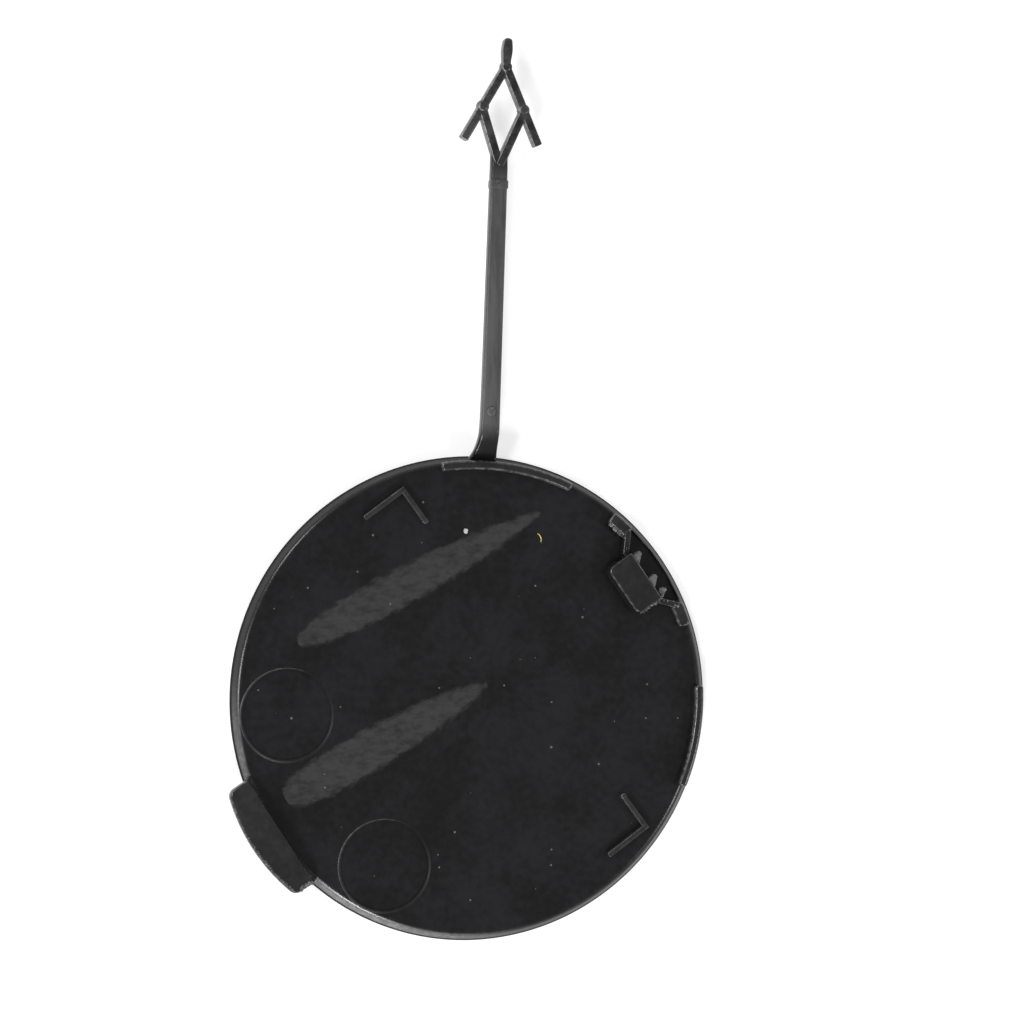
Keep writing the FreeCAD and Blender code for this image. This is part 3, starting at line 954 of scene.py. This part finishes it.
@dataclass
class HingeTab:
    """Hinge tab: a riser on the rim and a flange that reaches out past it."""

    inner: float = 33.65
    riser: float = 1.3
    riser_outer: float = 34.5
    width: float = 17.6
    reach: float = 38.3
    edge_radius: float = 28.0
    corner: float = 0.9
    foot: float = 1.0
    low: float = 3.7
    top: float = 5.1
    ease: float = 0.5
    end_ease: float = 0.3
    lower_ease: float = 0.12
    root_ease: float = 0.2
    back_ease: float = 0.3
    back_bulge: float = 0.09
    steps: int = 40

    def rings(self) -> Array:
        """The tab: an L section carried across, whose outer edge is an arc with rounded corners.

        The edge lies at reach - R + sqrt(R^2 - v^2), v being the distance from the tab's middle. The
        riser stays inside a circle about the cover's centre.

        Returns:
            Rings by points by along, across and height.
        """
        along = stations(self.width, self.corner, self.steps)
        across = along - self.width / 2
        inset = end_inset(along, self.width, self.corner)
        edge = self.reach - self.edge_radius + np.sqrt(self.edge_radius**2 - across**2) - inset
        back, low, foot = (np.full_like(edge, value) for value in (self.inner, self.low, self.foot))
        top = self.top - end_inset(along, self.width, self.end_ease)
        riser = np.minimum(back + self.riser, np.sqrt(self.riser_outer**2 - across**2))
        heel = np.minimum(back, riser - self.riser)
        rounded = (
            (edge - self.ease)[:, None] + self.ease * np.sin(QUARTER),
            (top - self.ease)[:, None] + self.ease * np.cos(QUARTER),
        )
        tail = (
            (edge, low + self.lower_ease),
            (edge - self.lower_ease, low),
            (riser + self.root_ease, low),
            (riser, low - self.root_ease),
            (riser, foot),
            (heel, foot),
            (back, top - self.back_ease),
            (back + self.back_bulge, top - self.back_bulge),
            (back + self.back_ease, top),
        )
        parts = [np.stack(rounded, axis=-1)] + [np.stack(point, axis=-1)[:, None] for point in tail]
        section = np.concatenate(parts, axis=1)
        sideways = np.broadcast_to(across[:, None], section.shape[:2])
        return np.stack([section[..., 0], sideways, section[..., 1]], axis=-1)

    def build(self, finish: Material) -> Piece:
        """Makes the tab."""
        shell = Shell("hinge_tab")
        shell.add_tube(Axis.TAB.turn(self.rings()))
        return shell.finish(finish)


@dataclass
class InnerMarks:
    """L-shaped guide ribs with their end posts, and the raised rims of the ejector marks.

    mark_shape is the upper side of a rim's section, from outside to inside, in parts of half its width
    and of its height. Legs lie a small step apart in height, so that no two share a plane.
    """

    place: float = 30.4
    start: float = 2.6
    length: float = 7.3
    leg: float = 5.9
    width: float = 0.75
    foot: float = 1.2
    top: float = 3.6
    ease: float = 0.16
    step: float = 0.03
    leg_steps: int = 6
    post: float = 0.45
    post_ease: float = 0.2
    mark_reach: float = 27.1
    mark_angle: float = 28.7
    mark_radius: float = 6.55
    mark_half_width: float = 0.25
    mark_rise: float = 0.13
    mark_foot: float = 0.3
    mark_shape: tuple[Point, ...] = ((1.0, 0.0), (0.0, 0.85), (-0.5, 1.0), (-0.98, 1.0), (-1.0, 0.0))
    mark_steps: int = 160
    face: float = 2.4

    def leg_rings(self, start: Point, heading: float, length: float, drop: float) -> Array:
        """One leg of a guide.

        Args:
            start: Where it begins in the frame.
            heading: Degrees clockwise from +Y.
            length: How long it is.
            drop: How far it lies below the guide's level.

        Returns:
            Rings by points by x, y and z.
        """
        along = stations(length, self.ease, self.leg_steps)
        inset = end_inset(along, length, self.ease)
        half = self.width / 2 - inset
        high, low = self.top - drop - inset, np.full_like(half, self.foot - drop)
        section = rounded_section(-half, half, low, high, self.ease, 0.0)
        return carry(*straight_path(start, heading, along), section)

    def post_rings(self, centre: Array) -> Array:
        """The post at a guide's end: an upright cylinder under a low dome that follows cos a and sin a."""
        bend = QUARTER[:-1]
        dome = self.top - self.post_ease + self.post_ease * np.sin(bend)
        radius = np.concatenate([[self.post], self.post * np.cos(bend)])
        return turned(centre, radius, np.concatenate([[self.foot], dome]))

    def build_guides(self, finish: Material) -> Piece:
        """Makes both guides as one piece."""
        shell = Shell("guide_ribs")
        outward = 90.0 - Axis.GUIDE.value
        far = self.start + self.length - self.width / 2
        edge = self.place + self.width / 2
        spots = np.array([(self.start, self.place), (far, edge), (far, edge - self.leg)])
        for sign in BOTH_SIDES:
            first, corner, last = Axis.GUIDE.turn(spots * (1.0, sign))
            shell.add_tube(self.leg_rings(tuple(first), outward, self.length, 0.0))
            shell.add_tube(self.leg_rings(tuple(corner), outward + sign * 90.0, self.leg, self.step))
            shell.add_tube(self.post_rings(last))
        return shell.finish(finish)

    def build_marks(self, finish: Material) -> Piece:
        """Makes the ejector marks: each a low step, sloped outside, carried round a circle."""
        shell = Shell("ejector_marks")
        outward = unit_circle(self.mark_steps)
        wide, deep = self.mark_half_width, self.face - self.mark_foot
        upper = np.array(self.mark_shape) * (wide, self.mark_rise) + (0.0, self.face)
        bead = np.concatenate([upper, [(-wide, deep), (wide, deep)]])
        section = np.broadcast_to(bead, (self.mark_steps, *bead.shape))
        faces = ring_faces(self.mark_steps + 1, len(bead)) % (self.mark_steps * len(bead))
        for sign in BOTH_SIDES:
            turn = math.radians(sign * self.mark_angle)
            centre = Axis.TAB.turn(self.mark_reach * np.array([math.cos(turn), math.sin(turn)]))
            shell.add(carry(centre + self.mark_radius * outward, outward, section), faces.tolist())
        return shell.finish(finish)


@dataclass
class Tether:
    """Tether: a strap that climbs off the rim, with a nub and a collar, and an arrow head at its end.

    Members of the head lie a small step apart in height, so that no two share a plane.
    """

    rim: float = 35.0
    offset: float = 2.1
    lean: float = 2.05
    length: float = 42.2
    depth: float = 0.9
    root_width: float = 2.75
    end_width: float = 2.45
    thickness: float = 1.6
    low: float = 3.2
    root_low: float = 1.0
    root_run: float = 4.0
    root_reach: float = 5.0
    flare: float = 1.75
    flare_run: float = 1.35
    right_flare: float = 0.15
    fork_run: float = 1.3
    fork_start: float = 0.9
    fork_ease: float = 1.35
    fork_dip: float = 0.17
    ease: float = 0.42
    foot: float = 0.25
    root_steps: int = 40
    strap_steps: int = 30
    fork_steps: int = 14
    nub_place: float = 6.4
    nub_radius: float = 0.7
    nub_sink: float = 0.35
    nub_rise: float = 0.3
    collar_place: float = 39.1
    collar_length: float = 1.3
    collar_extra: float = 0.2
    collar_rise: float = 0.25
    head_lean: float = 4.1
    head_length: float = 13.85
    knot_place: float = 7.9
    knot_spacing: float = 6.0
    barb_length: float = 12.2
    member_width: float = 1.3
    member_ease: float = 0.3
    member_foot: float = 0.2
    member_end: float = 0.22
    member_root: float = 0.4
    member_step: float = 0.03
    member_steps: int = 10
    end_drop: float = 0.5
    tip_length: float = 4.19
    tip_width: float = 1.2
    tip_round: float = 0.504
    tip_swell: float = 0.14
    tip_neck: float = 0.15
    tip_drop: float = 0.06
    tip_slope: float = 0.7
    tip_ease: float = 0.15
    tip_foot: float = 0.12
    tip_steps: int = 14
    knot_radius: float = 0.95
    knot_proud: float = 0.07
    knot_sink: float = 0.05
    lump_turn: float = 0.498
    lump_power: float = 0.6
    lump_steps: int = 19

    @property
    def top(self) -> float:
        """The height of the strap's level run."""
        return self.low + self.thickness

    def strap_point(self, distance: float) -> Point:
        """A point of the strap's middle line, a distance out from the rim."""
        angle = math.radians(self.lean)
        return self.offset + distance * math.sin(angle), self.rim + distance * math.cos(angle)

    def head_point(self, along: float, across: float = 0.0) -> Point:
        """A point of the arrow head, along its axis from the fork and across it to the right."""
        x, y = self.strap_point(self.length)
        angle = math.radians(self.head_lean)
        return (
            x + along * math.sin(angle) + across * math.cos(angle),
            y + along * math.cos(angle) - across * math.sin(angle),
        )

    def strap_rings(self) -> Array:
        """The strap: a rounded section carried out from the rim.

        With s from 0 at the root to 1 at the end of the climb, its height follows 3 s^2 - 2 s^3.
        Its left side flares at the root by flare * exp(-distance / flare_run), and its right side by
        a small part of that. From just before the fork its top dips by the same curve as the climb's,
        so that it fills the corners between the head's members.

        Returns:
            Rings by points by x, y and z.
        """
        dip_start, end = self.length - self.fork_start, self.length + self.fork_run
        along = np.concatenate([
            np.linspace(-self.depth, self.root_reach, self.root_steps),
            np.linspace(self.root_reach, dip_start, self.strap_steps)[1:-1],
            np.linspace(dip_start, end, self.fork_steps),
        ])
        climb = smooth_rise(along, -self.depth, self.root_run + self.depth)
        bottom = self.root_low + (self.low - self.root_low) * climb
        top = bottom + self.thickness - self.fork_dip * smooth_rise(along, dip_start, self.fork_ease)
        half = np.interp(along, [self.root_run, self.length], [self.root_width / 2, self.end_width / 2])
        flare = self.flare * np.exp(-(along + self.depth) / self.flare_run)
        right = half + self.right_flare * flare
        section = rounded_section(-half - flare, right, bottom, top, self.ease, self.foot)
        return carry(*straight_path(self.strap_point(0.0), self.lean, along), section)

    def bar_rings(
        self, start: Point, heading: float, length: float, width: float, drop: float, rise: float = 0.0
    ) -> Array:
        """A member of the head: a rounded bar from a point on a heading.

        Args:
            start: Where it begins.
            heading: Degrees clockwise from +Y.
            length: How long it is.
            width: How wide it is.
            drop: How far the whole bar lies below the strap's level.
            rise: How much higher than the strap it is.

        Returns:
            Rings by points by x, y and z.
        """
        along = stations(length, self.member_end, self.member_steps)
        inset = end_inset(along, length, self.member_end)
        half = width / 2 - inset
        low = self.low - drop + self.end_drop * inset
        top = self.top - drop + rise - self.end_drop * inset
        section = rounded_section(-half, half, low, top, self.member_ease, self.member_foot)
        return carry(*straight_path(start, heading, along), section)

    def lump_rings(self, centre: Point, radius: float, low: float, high: float) -> Array:
        """A squashed ball: circles of radius r * |cos a|^lump_power at heights that go with sin a.

        Args:
            centre: Where it stands in plan.
            radius: Its greatest radius.
            low: Its lowest height.
            high: Its highest height.

        Returns:
            Rings by points by x, y and z.
        """
        bend = np.linspace(-self.lump_turn * math.pi, self.lump_turn * math.pi, self.lump_steps)
        height = (low + high) / 2 + (high - low) / 2 * np.sin(bend)
        return turned(centre, radius * np.cos(bend) ** self.lump_power, height)

    def tip_rings(self) -> Array:
        """The lead-in tip: a bar that swells to a rounded bulb.

        Its half width grows by tip_swell times sin^2 along it, from the neck on, and closes as a
        quarter circle at its end.

        Returns:
            Rings by points by x, y and z.
        """
        along = stations(self.tip_length, self.tip_round, self.tip_steps)
        part = along / self.tip_length
        inset = np.where(part > 0.5, end_inset(along, self.tip_length, self.tip_round), 0.0)
        past_neck = np.clip(part * (1.0 + self.tip_neck) - self.tip_neck, 0.0, 1.0)
        half = self.tip_width / 2 + self.tip_swell * np.sin(math.pi * past_neck) ** 2 - inset
        low = self.low + self.end_drop * inset
        top = self.top - self.tip_drop - self.tip_slope * inset
        section = rounded_section(-half, half, low, top, self.tip_ease, self.tip_foot)
        return carry(*straight_path(self.head_point(self.head_length), self.head_lean, along), section)

    def build_strap(self, finish: Material) -> Piece:
        """Makes the strap with its nub and collar."""
        shell = Shell("tether_strap")
        shell.add_tube(self.strap_rings())
        nub = self.strap_point(self.nub_place)
        low, high = self.top - self.nub_sink, self.top + self.nub_rise
        shell.add_tube(self.lump_rings(nub, self.nub_radius, low, high))
        start = self.strap_point(self.collar_place - self.collar_length / 2)
        wide = self.end_width + self.collar_extra
        collar = (start, self.lean, self.collar_length, wide, self.member_step, self.collar_rise)
        shell.add_tube(self.bar_rings(*collar))
        return shell.finish(finish)

    def build_head(self, finish: Material) -> Piece:
        """Makes the arrow head: a diamond of members, two barbs, knots where they meet and a tip."""
        shell = Shell("arrow_head")
        half = self.knot_spacing / 2
        away = math.degrees(math.atan2(half, self.knot_place))
        back = math.degrees(math.atan2(half, self.head_length - self.knot_place))
        lower = math.hypot(half, self.knot_place) + self.member_root
        fork, crown = self.head_point(-self.member_root), self.head_point(self.head_length)
        knot = (self.knot_radius, self.low + self.knot_sink, self.top + self.knot_proud)
        for number, sign in enumerate(BOTH_SIDES):
            member = self.head_lean + sign * away
            barb = self.head_lean + 180.0 - sign * back
            drop = self.member_step * (2 * number + 1)
            shell.add_tube(self.bar_rings(fork, member, lower, self.member_width, drop))
            drop += self.member_step
            shell.add_tube(self.bar_rings(crown, barb, self.barb_length, self.member_width, drop))
            shell.add_tube(self.lump_rings(self.head_point(self.knot_place, sign * half), *knot))
        shell.add_tube(self.lump_rings(crown, *knot))
        shell.add_tube(self.tip_rings())
        return shell.finish(finish)


@dataclass(frozen=True)
class FlashLine:
    """A line of moulding flash: its two ends, how far its crumbs stray and how large they are."""

    start: Triple
    end: Triple
    stray: float
    crumbs: int
    radius: float


@dataclass
class Flash:
    """Ragged crumbs of flash that the mould left on the clip, its ribs, the tab and the tether; their pale
    grey paints glints.
    """

    seed: int = 11
    rows: int = 7
    columns: int = 9
    pole: float = 0.45
    flatness: float = 0.6
    stretch: Point = (0.6, 1.4)
    rugged: Point = (0.7, 1.3)
    sizes: Point = (0.5, 1.2)
    rise: float = 0.3
    ceiling: float = 5.18
    lines: tuple[FlashLine, ...] = (
        FlashLine((24.5, 12.35, 4.95), (27.6, 14.55, 4.95), 0.22, 34, 0.2),
        FlashLine((27.5, 14.8, 4.7), (28.2, 15.8, 4.3), 0.28, 20, 0.26),
        FlashLine((27.6, 14.1, 3.8), (30.4, 13.3, 3.8), 0.3, 18, 0.18),
        FlashLine((22.4, 23.2, 3.5), (20.0, 25.3, 3.5), 0.22, 26, 0.2),
        FlashLine((22.7, 21.4, 3.75), (22.95, 24.2, 3.7), 0.28, 16, 0.18),
        FlashLine((-23.8, -25.5, 5.06), (-25.4, -26.5, 5.06), 0.2, 28, 0.22),
        # Along the tab's outer edge the pale crumbs also paint its highlight line.
        FlashLine((-26.5, -26.7, 5.07), (-28.8, -24.6, 5.07), 0.12, 26, 0.17),
        FlashLine((-28.8, -24.6, 5.07), (-30.8, -22.3, 5.07), 0.12, 22, 0.15),
        FlashLine((-30.8, -22.3, 5.07), (-32.9, -19.0, 5.07), 0.1, 14, 0.12),
        # Pale crumbs by the nub that paint its glints.
        FlashLine((2.2, 41.0, 5.0), (2.5, 41.8, 5.0), 0.2, 5, 0.13),
        FlashLine((2.6, 74.2, 5.0), (4.4, 74.2, 5.0), 0.3, 14, 0.16),
    )

    def crumb(self, centre: Array, radius: float, draw: np.random.Generator) -> Array:
        """One crumb: a squashed ball, longer one way, whose radius changes from point to point.

        A point lies at cos b cos a, cos b sin a and sin b, times the radius, the stretch and a
        random factor.

        Args:
            centre: Where it sits.
            radius: Its mean radius.
            draw: Where its random numbers come from.

        Returns:
            Rings by points by x, y and z.
        """
        bend = np.linspace(-self.pole * math.pi, self.pole * math.pi, self.rows)[:, None, None]
        around = unit_circle(self.columns)[None]
        tall = np.broadcast_to(np.sin(bend), (self.rows, self.columns, 1))
        ball = np.concatenate([np.cos(bend) * around, tall], axis=-1)
        stretch = np.array([*draw.uniform(*self.stretch, 2), self.flatness])
        return centre + radius * stretch * ball * draw.uniform(*self.rugged, (self.rows, self.columns, 1))

    def build(self, finish: Material) -> Piece:
        """Makes all the crumbs as one piece, each at a random place along its line."""
        draw = np.random.default_rng(self.seed)
        shell = Shell("flash_and_glints")
        tallest = self.rugged[1] * self.flatness
        for line in self.lines:
            start, end = np.asarray(line.start), np.asarray(line.end)
            places = start + draw.uniform(0.0, 1.0, (line.crumbs, 1)) * (end - start)
            stray = line.stray * np.array([1.0, 1.0, self.rise])
            places += draw.uniform(-1.0, 1.0, (line.crumbs, 3)) * stray
            sizes = line.radius * draw.uniform(*self.sizes, line.crumbs)
            places[:, 2] = np.minimum(places[:, 2], self.ceiling - tallest * sizes)
            for place, radius in zip(places, sizes):
                shell.add_tube(self.crumb(place, float(radius), draw))
        return shell.finish(finish)


@dataclass
class Dust:
    """Dirt on the plate: one pale crumb and one curled yellowish fibre."""

    face: float = 2.4
    crumb_seed: int = 5
    crumb_place: Point = (-0.9, 24.2)
    crumb_radius: float = 0.3
    fibre_centre: Point = (9.2, 22.9)
    fibre_bend: float = 1.05
    fibre_turn: Point = (-20.0, 62.0)
    fibre_radius: float = 0.08
    fibre_ends: Point = (0.03, 0.97)
    fibre_lift: float = 0.5
    fibre_steps: int = 24
    fibre_sides: int = 8

    def build_crumb(self, finish: Material) -> Piece:
        """Makes the crumb."""
        shell = Shell("dust_crumb")
        centre = np.array([*self.crumb_place, self.face])
        shell.add_tube(Flash().crumb(centre, self.crumb_radius, np.random.default_rng(self.crumb_seed)))
        return shell.finish(finish)

    def build_fibre(self, finish: Material) -> Piece:
        """Makes the fibre: a circle carried along an arc, drawn in to a point at both ends.

        Its radius goes with the square root of sin t, t going through half a turn along it.

        Args:
            finish: The finish that it gets.

        Returns:
            The new object.
        """
        turn = np.radians(np.linspace(*self.fibre_turn, self.fibre_steps))
        outward = np.stack([np.cos(turn), np.sin(turn)], axis=-1)
        part = np.linspace(*self.fibre_ends, self.fibre_steps)
        slim = self.fibre_radius * np.sqrt(np.sin(part * math.pi))
        middle = (0.0, self.face + self.fibre_lift * self.fibre_radius)
        section = slim[:, None, None] * unit_circle(self.fibre_sides) + middle
        shell = Shell("lint_fibre")
        shell.add_tube(carry(np.asarray(self.fibre_centre) + self.fibre_bend * outward, outward, section))
        return shell.finish(finish)


@dataclass(frozen=True)
class AreaLamp:
    """A soft square lamp that looks at the cover."""

    name: str
    azimuth: float
    elevation: float
    distance: float
    size: float
    power: float

    def build(self, target: Vector) -> None:
        """Hangs the lamp at its angles round the target and turns it to face the target."""
        light = bpy.data.lights.new(self.name, "AREA")
        light.size = self.size
        light.energy = self.power
        lamp = bpy.data.objects.new(self.name, light)
        around, above = math.radians(self.azimuth), math.radians(self.elevation)
        level = math.cos(above)
        out = Vector((math.cos(around) * level, math.sin(around) * level, math.sin(above)))
        lamp.location = target + out * self.distance
        lamp.rotation_euler = out.to_track_quat("Z", "Y").to_euler()
        bpy.context.scene.collection.objects.link(lamp)


@dataclass
class Studio:
    """White floor, soft lamps, a plain surround and the camera above the cover."""

    look: Triple = (0.005346, 0.027802, 0.001)
    distance: float = 0.5
    lens: float = 122.7
    sensor: float = 36.0
    near_limit: float = 0.01
    tilt: float = -12.76
    tilt_axis: float = 89.31
    floor_drop: float = 0.00005
    floor_size: float = 3.0
    floor_glow: float = 0.62
    floor_colour: float = 0.5
    sky_heights: Point = (0.1, 0.8)
    sky_light: Point = (0.9, 0.28)
    lamps: tuple[AreaLamp, ...] = (
        AreaLamp("left_lamp", 180.0, 46.0, 0.7, 0.13, 1.7),
        AreaLamp("low_lamp", 254.0, 36.0, 0.7, 0.11, 2.7),
        AreaLamp("low_right_lamp", 338.0, 40.0, 0.7, 0.14, 1.1),
        AreaLamp("far_lamp", 136.0, 42.0, 0.8, 0.13, 1.4),
    )

    def build_floor(self) -> None:
        """Lays the floor: seen directly it glows near white, and it still takes the cover's shadow."""
        spots = np.array([(-1, -1), (1, -1), (1, 1), (-1, 1)]) * (self.floor_size / 2)
        points = np.column_stack([spots, np.full(len(spots), -self.floor_drop)])
        mesh = bpy.data.meshes.new("floor")
        mesh.from_pydata(points.tolist(), [], [[0, 1, 2, 3]])
        floor = bpy.data.objects.new("floor", mesh)
        bpy.context.scene.collection.objects.link(floor)
        material = bpy.data.materials.new("white_floor")
        material.use_nodes = True
        graph = Graph(material.node_tree)
        paint = graph.add("BsdfDiffuse", {"Color": (*grey(self.floor_colour), 1.0)})
        rays = graph.add("LightPath", {}).outputs
        seen = graph.math("MAXIMUM", rays["Is Camera Ray"], rays["Is Glossy Ray"])
        seen = graph.math("MAXIMUM", seen, rays["Is Transmission Ray"])
        glow = graph.add("Emission", {"Strength": graph.product(seen, self.floor_glow)})
        both = graph.add("AddShader", {0: paint.outputs[0], 1: glow.outputs[0]})
        graph.add("OutputMaterial", {"Surface": both.outputs[0]})
        mesh.materials.append(material)

    def build_world(self) -> None:
        """Surrounds the cover with plain light: white at the horizon, dim overhead."""
        world = bpy.data.worlds.new("surround")
        world.use_nodes = True
        bpy.context.scene.world = world
        graph = Graph(world.node_tree)
        direction = graph.add("TexCoord", {}).outputs["Generated"]
        strength = graph.ramp(graph.axes(direction)[2], *self.sky_heights, *self.sky_light)
        light = graph.add("Background", {"Color": (1.0, 1.0, 1.0, 1.0), "Strength": strength})
        graph.add("OutputWorld", {"Surface": light.outputs[0]})

    def build_camera(self) -> None:
        """Sets the camera: it looks down, tilted about a level axis, with +Y upwards in the picture."""
        lens = bpy.data.cameras.new("camera")
        lens.sensor_width = self.sensor
        lens.lens = self.lens
        lens.clip_start = self.near_limit
        camera = bpy.data.objects.new("camera", lens)
        axis = math.radians(self.tilt_axis)
        turn = Matrix.Rotation(math.radians(self.tilt), 3, Vector((math.cos(axis), math.sin(axis), 0.0)))
        camera.rotation_euler = turn.to_euler()
        camera.location = Vector(self.look) + turn @ Vector((0.0, 0.0, self.distance))
        bpy.context.scene.collection.objects.link(camera)
        bpy.context.scene.camera = camera

    def build(self) -> None:
        """Builds the whole studio."""
        bpy.context.scene.view_settings.view_transform = "Standard"
        self.build_floor()
        self.build_world()
        for lamp in self.lamps:
            lamp.build(Vector(self.look))
        self.build_camera()


# Plate: grey edges are wear with painted highlight, strongest toward the lower-left lamps; the rim's lower
# band has painted shade.
PLATE_FINISH = MouldedPlastic(
    name="plate_plastic",
    dark=(0.005, 0.005, 0.0055),
    haze=(0.011, 0.011, 0.0125),
    roughness=0.24,
    gloss=0.34,
    shaded_rim_band=(1.2, 1.5),
    edge_wear_and_highlight=0.9,
    worn_highlit_edge_colour=grey(0.21),
    edge_evenness=0.6,
    lit_side=228.0,
    scuffs=(
        Scuff((-25.4, 8.3), (10.2, 26.9), 2.6, 0.45, 0.75),
        Scuff((-27.2, -13.9), (2.2, 2.2), 2.9, 0.3, 0.6),
    ),
)
# Strap: grey edges partly painted highlight; its sloped root is darkened as painted shade.
TETHER_FINISH = MouldedPlastic(
    name="tether_plastic",
    dark=grey(0.032),
    haze=grey(0.086),
    roughness=0.34,
    gloss=0.25,
    streak=(1.6, 0.2, 1.0),
    edge_wear_and_highlight=0.3,
    root_fade=(36.8, 40.0),
    end_fade=(73.6, 77.2),
)
# Clip, walls and tab: grey edges partly painted highlight; the rim's lower band has painted shade.
CLIP_FINISH = MouldedPlastic(
    name="clip_plastic",
    dark=(0.010, 0.010, 0.0105),
    haze=(0.022, 0.022, 0.023),
    roughness=0.23,
    gloss=0.45,
    shaded_rim_band=(1.2, 1.5),
    edge_wear_and_highlight=0.55,
)
# Arrow head: a painted highlight greys the edges and sides that face the left, toward the lamps.
HEAD_FINISH = MouldedPlastic(
    name="head_plastic",
    dark=grey(0.006),
    haze=grey(0.045),
    roughness=0.26,
    gloss=0.5,
    edge_wear_and_highlight=0.9,
    worn_highlit_edge_colour=grey(0.26),
    edge_evenness=0.35,
    highlight_facing=195.0,
)
# Flash: its pale grey paints glints on the crumbs.
FLASH_AND_GLINT_FINISH = MouldedPlastic(
    name="flash_and_glint_plastic", dark=grey(0.03), haze=grey(0.2), roughness=0.3, gloss=0.5
)
# Guides: a painted highlight greys the edges facing the upper left.
GUIDE_FINISH = MouldedPlastic(
    name="guide_plastic",
    dark=(0.008, 0.008, 0.0085),
    haze=(0.03, 0.03, 0.031),
    roughness=0.3,
    gloss=0.4,
    edge_wear_and_highlight=0.8,
    worn_highlit_edge_colour=grey(0.15),
    edge_evenness=0.3,
    highlight_facing=140.0,
)
# Ejector marks: a painted highlight greys the slopes facing the upper left.
MARK_FINISH = MouldedPlastic(
    name="mark_plastic",
    dark=(0.004, 0.004, 0.0045),
    haze=(0.008, 0.008, 0.009),
    roughness=0.42,
    gloss=0.22,
    edge_wear_and_highlight=1.0,
    worn_highlit_edge_colour=grey(0.34),
    edge_evenness=0.4,
    highlight_facing=140.0,
)
# Noses: their light grey is a painted highlight on their tops.
NOSE_HIGHLIGHT_FINISH = MouldedPlastic(
    name="nose_highlight_plastic", dark=grey(0.08), haze=grey(0.2), roughness=0.34, gloss=0.4
)
CRUMB_FINISH = MouldedPlastic(
    name="pale_crumb", dark=(0.4, 0.4, 0.38), haze=(0.7, 0.7, 0.66), roughness=0.6, gloss=0.3
)
FIBRE_FINISH = MouldedPlastic(
    name="yellow_fibre", dark=(0.42, 0.3, 0.06), haze=(0.75, 0.6, 0.2), roughness=0.55, gloss=0.3
)


def main() -> None:
    """Builds the cover's sub-assemblies in order, then the studio."""
    logging.basicConfig(level=logging.INFO, format="%(name)s %(message)s")
    clip_plastic = CLIP_FINISH.build()
    Plate().build(PLATE_FINISH.build())
    RimFeatures().build(clip_plastic)
    clip = SnapClip()
    clip.build(clip_plastic)
    clip.build_noses(NOSE_HIGHLIGHT_FINISH.build())
    HingeTab().build(clip_plastic)
    marks = InnerMarks()
    marks.build_guides(GUIDE_FINISH.build())
    marks.build_marks(MARK_FINISH.build())
    tether = Tether()
    tether.build_strap(TETHER_FINISH.build())
    tether.build_head(HEAD_FINISH.build())
    Flash().build(FLASH_AND_GLINT_FINISH.build())
    dust = Dust()
    dust.build_crumb(CRUMB_FINISH.build())
    dust.build_fibre(FIBRE_FINISH.build())
    Studio().build()


if __name__ == "__main__":
    main()
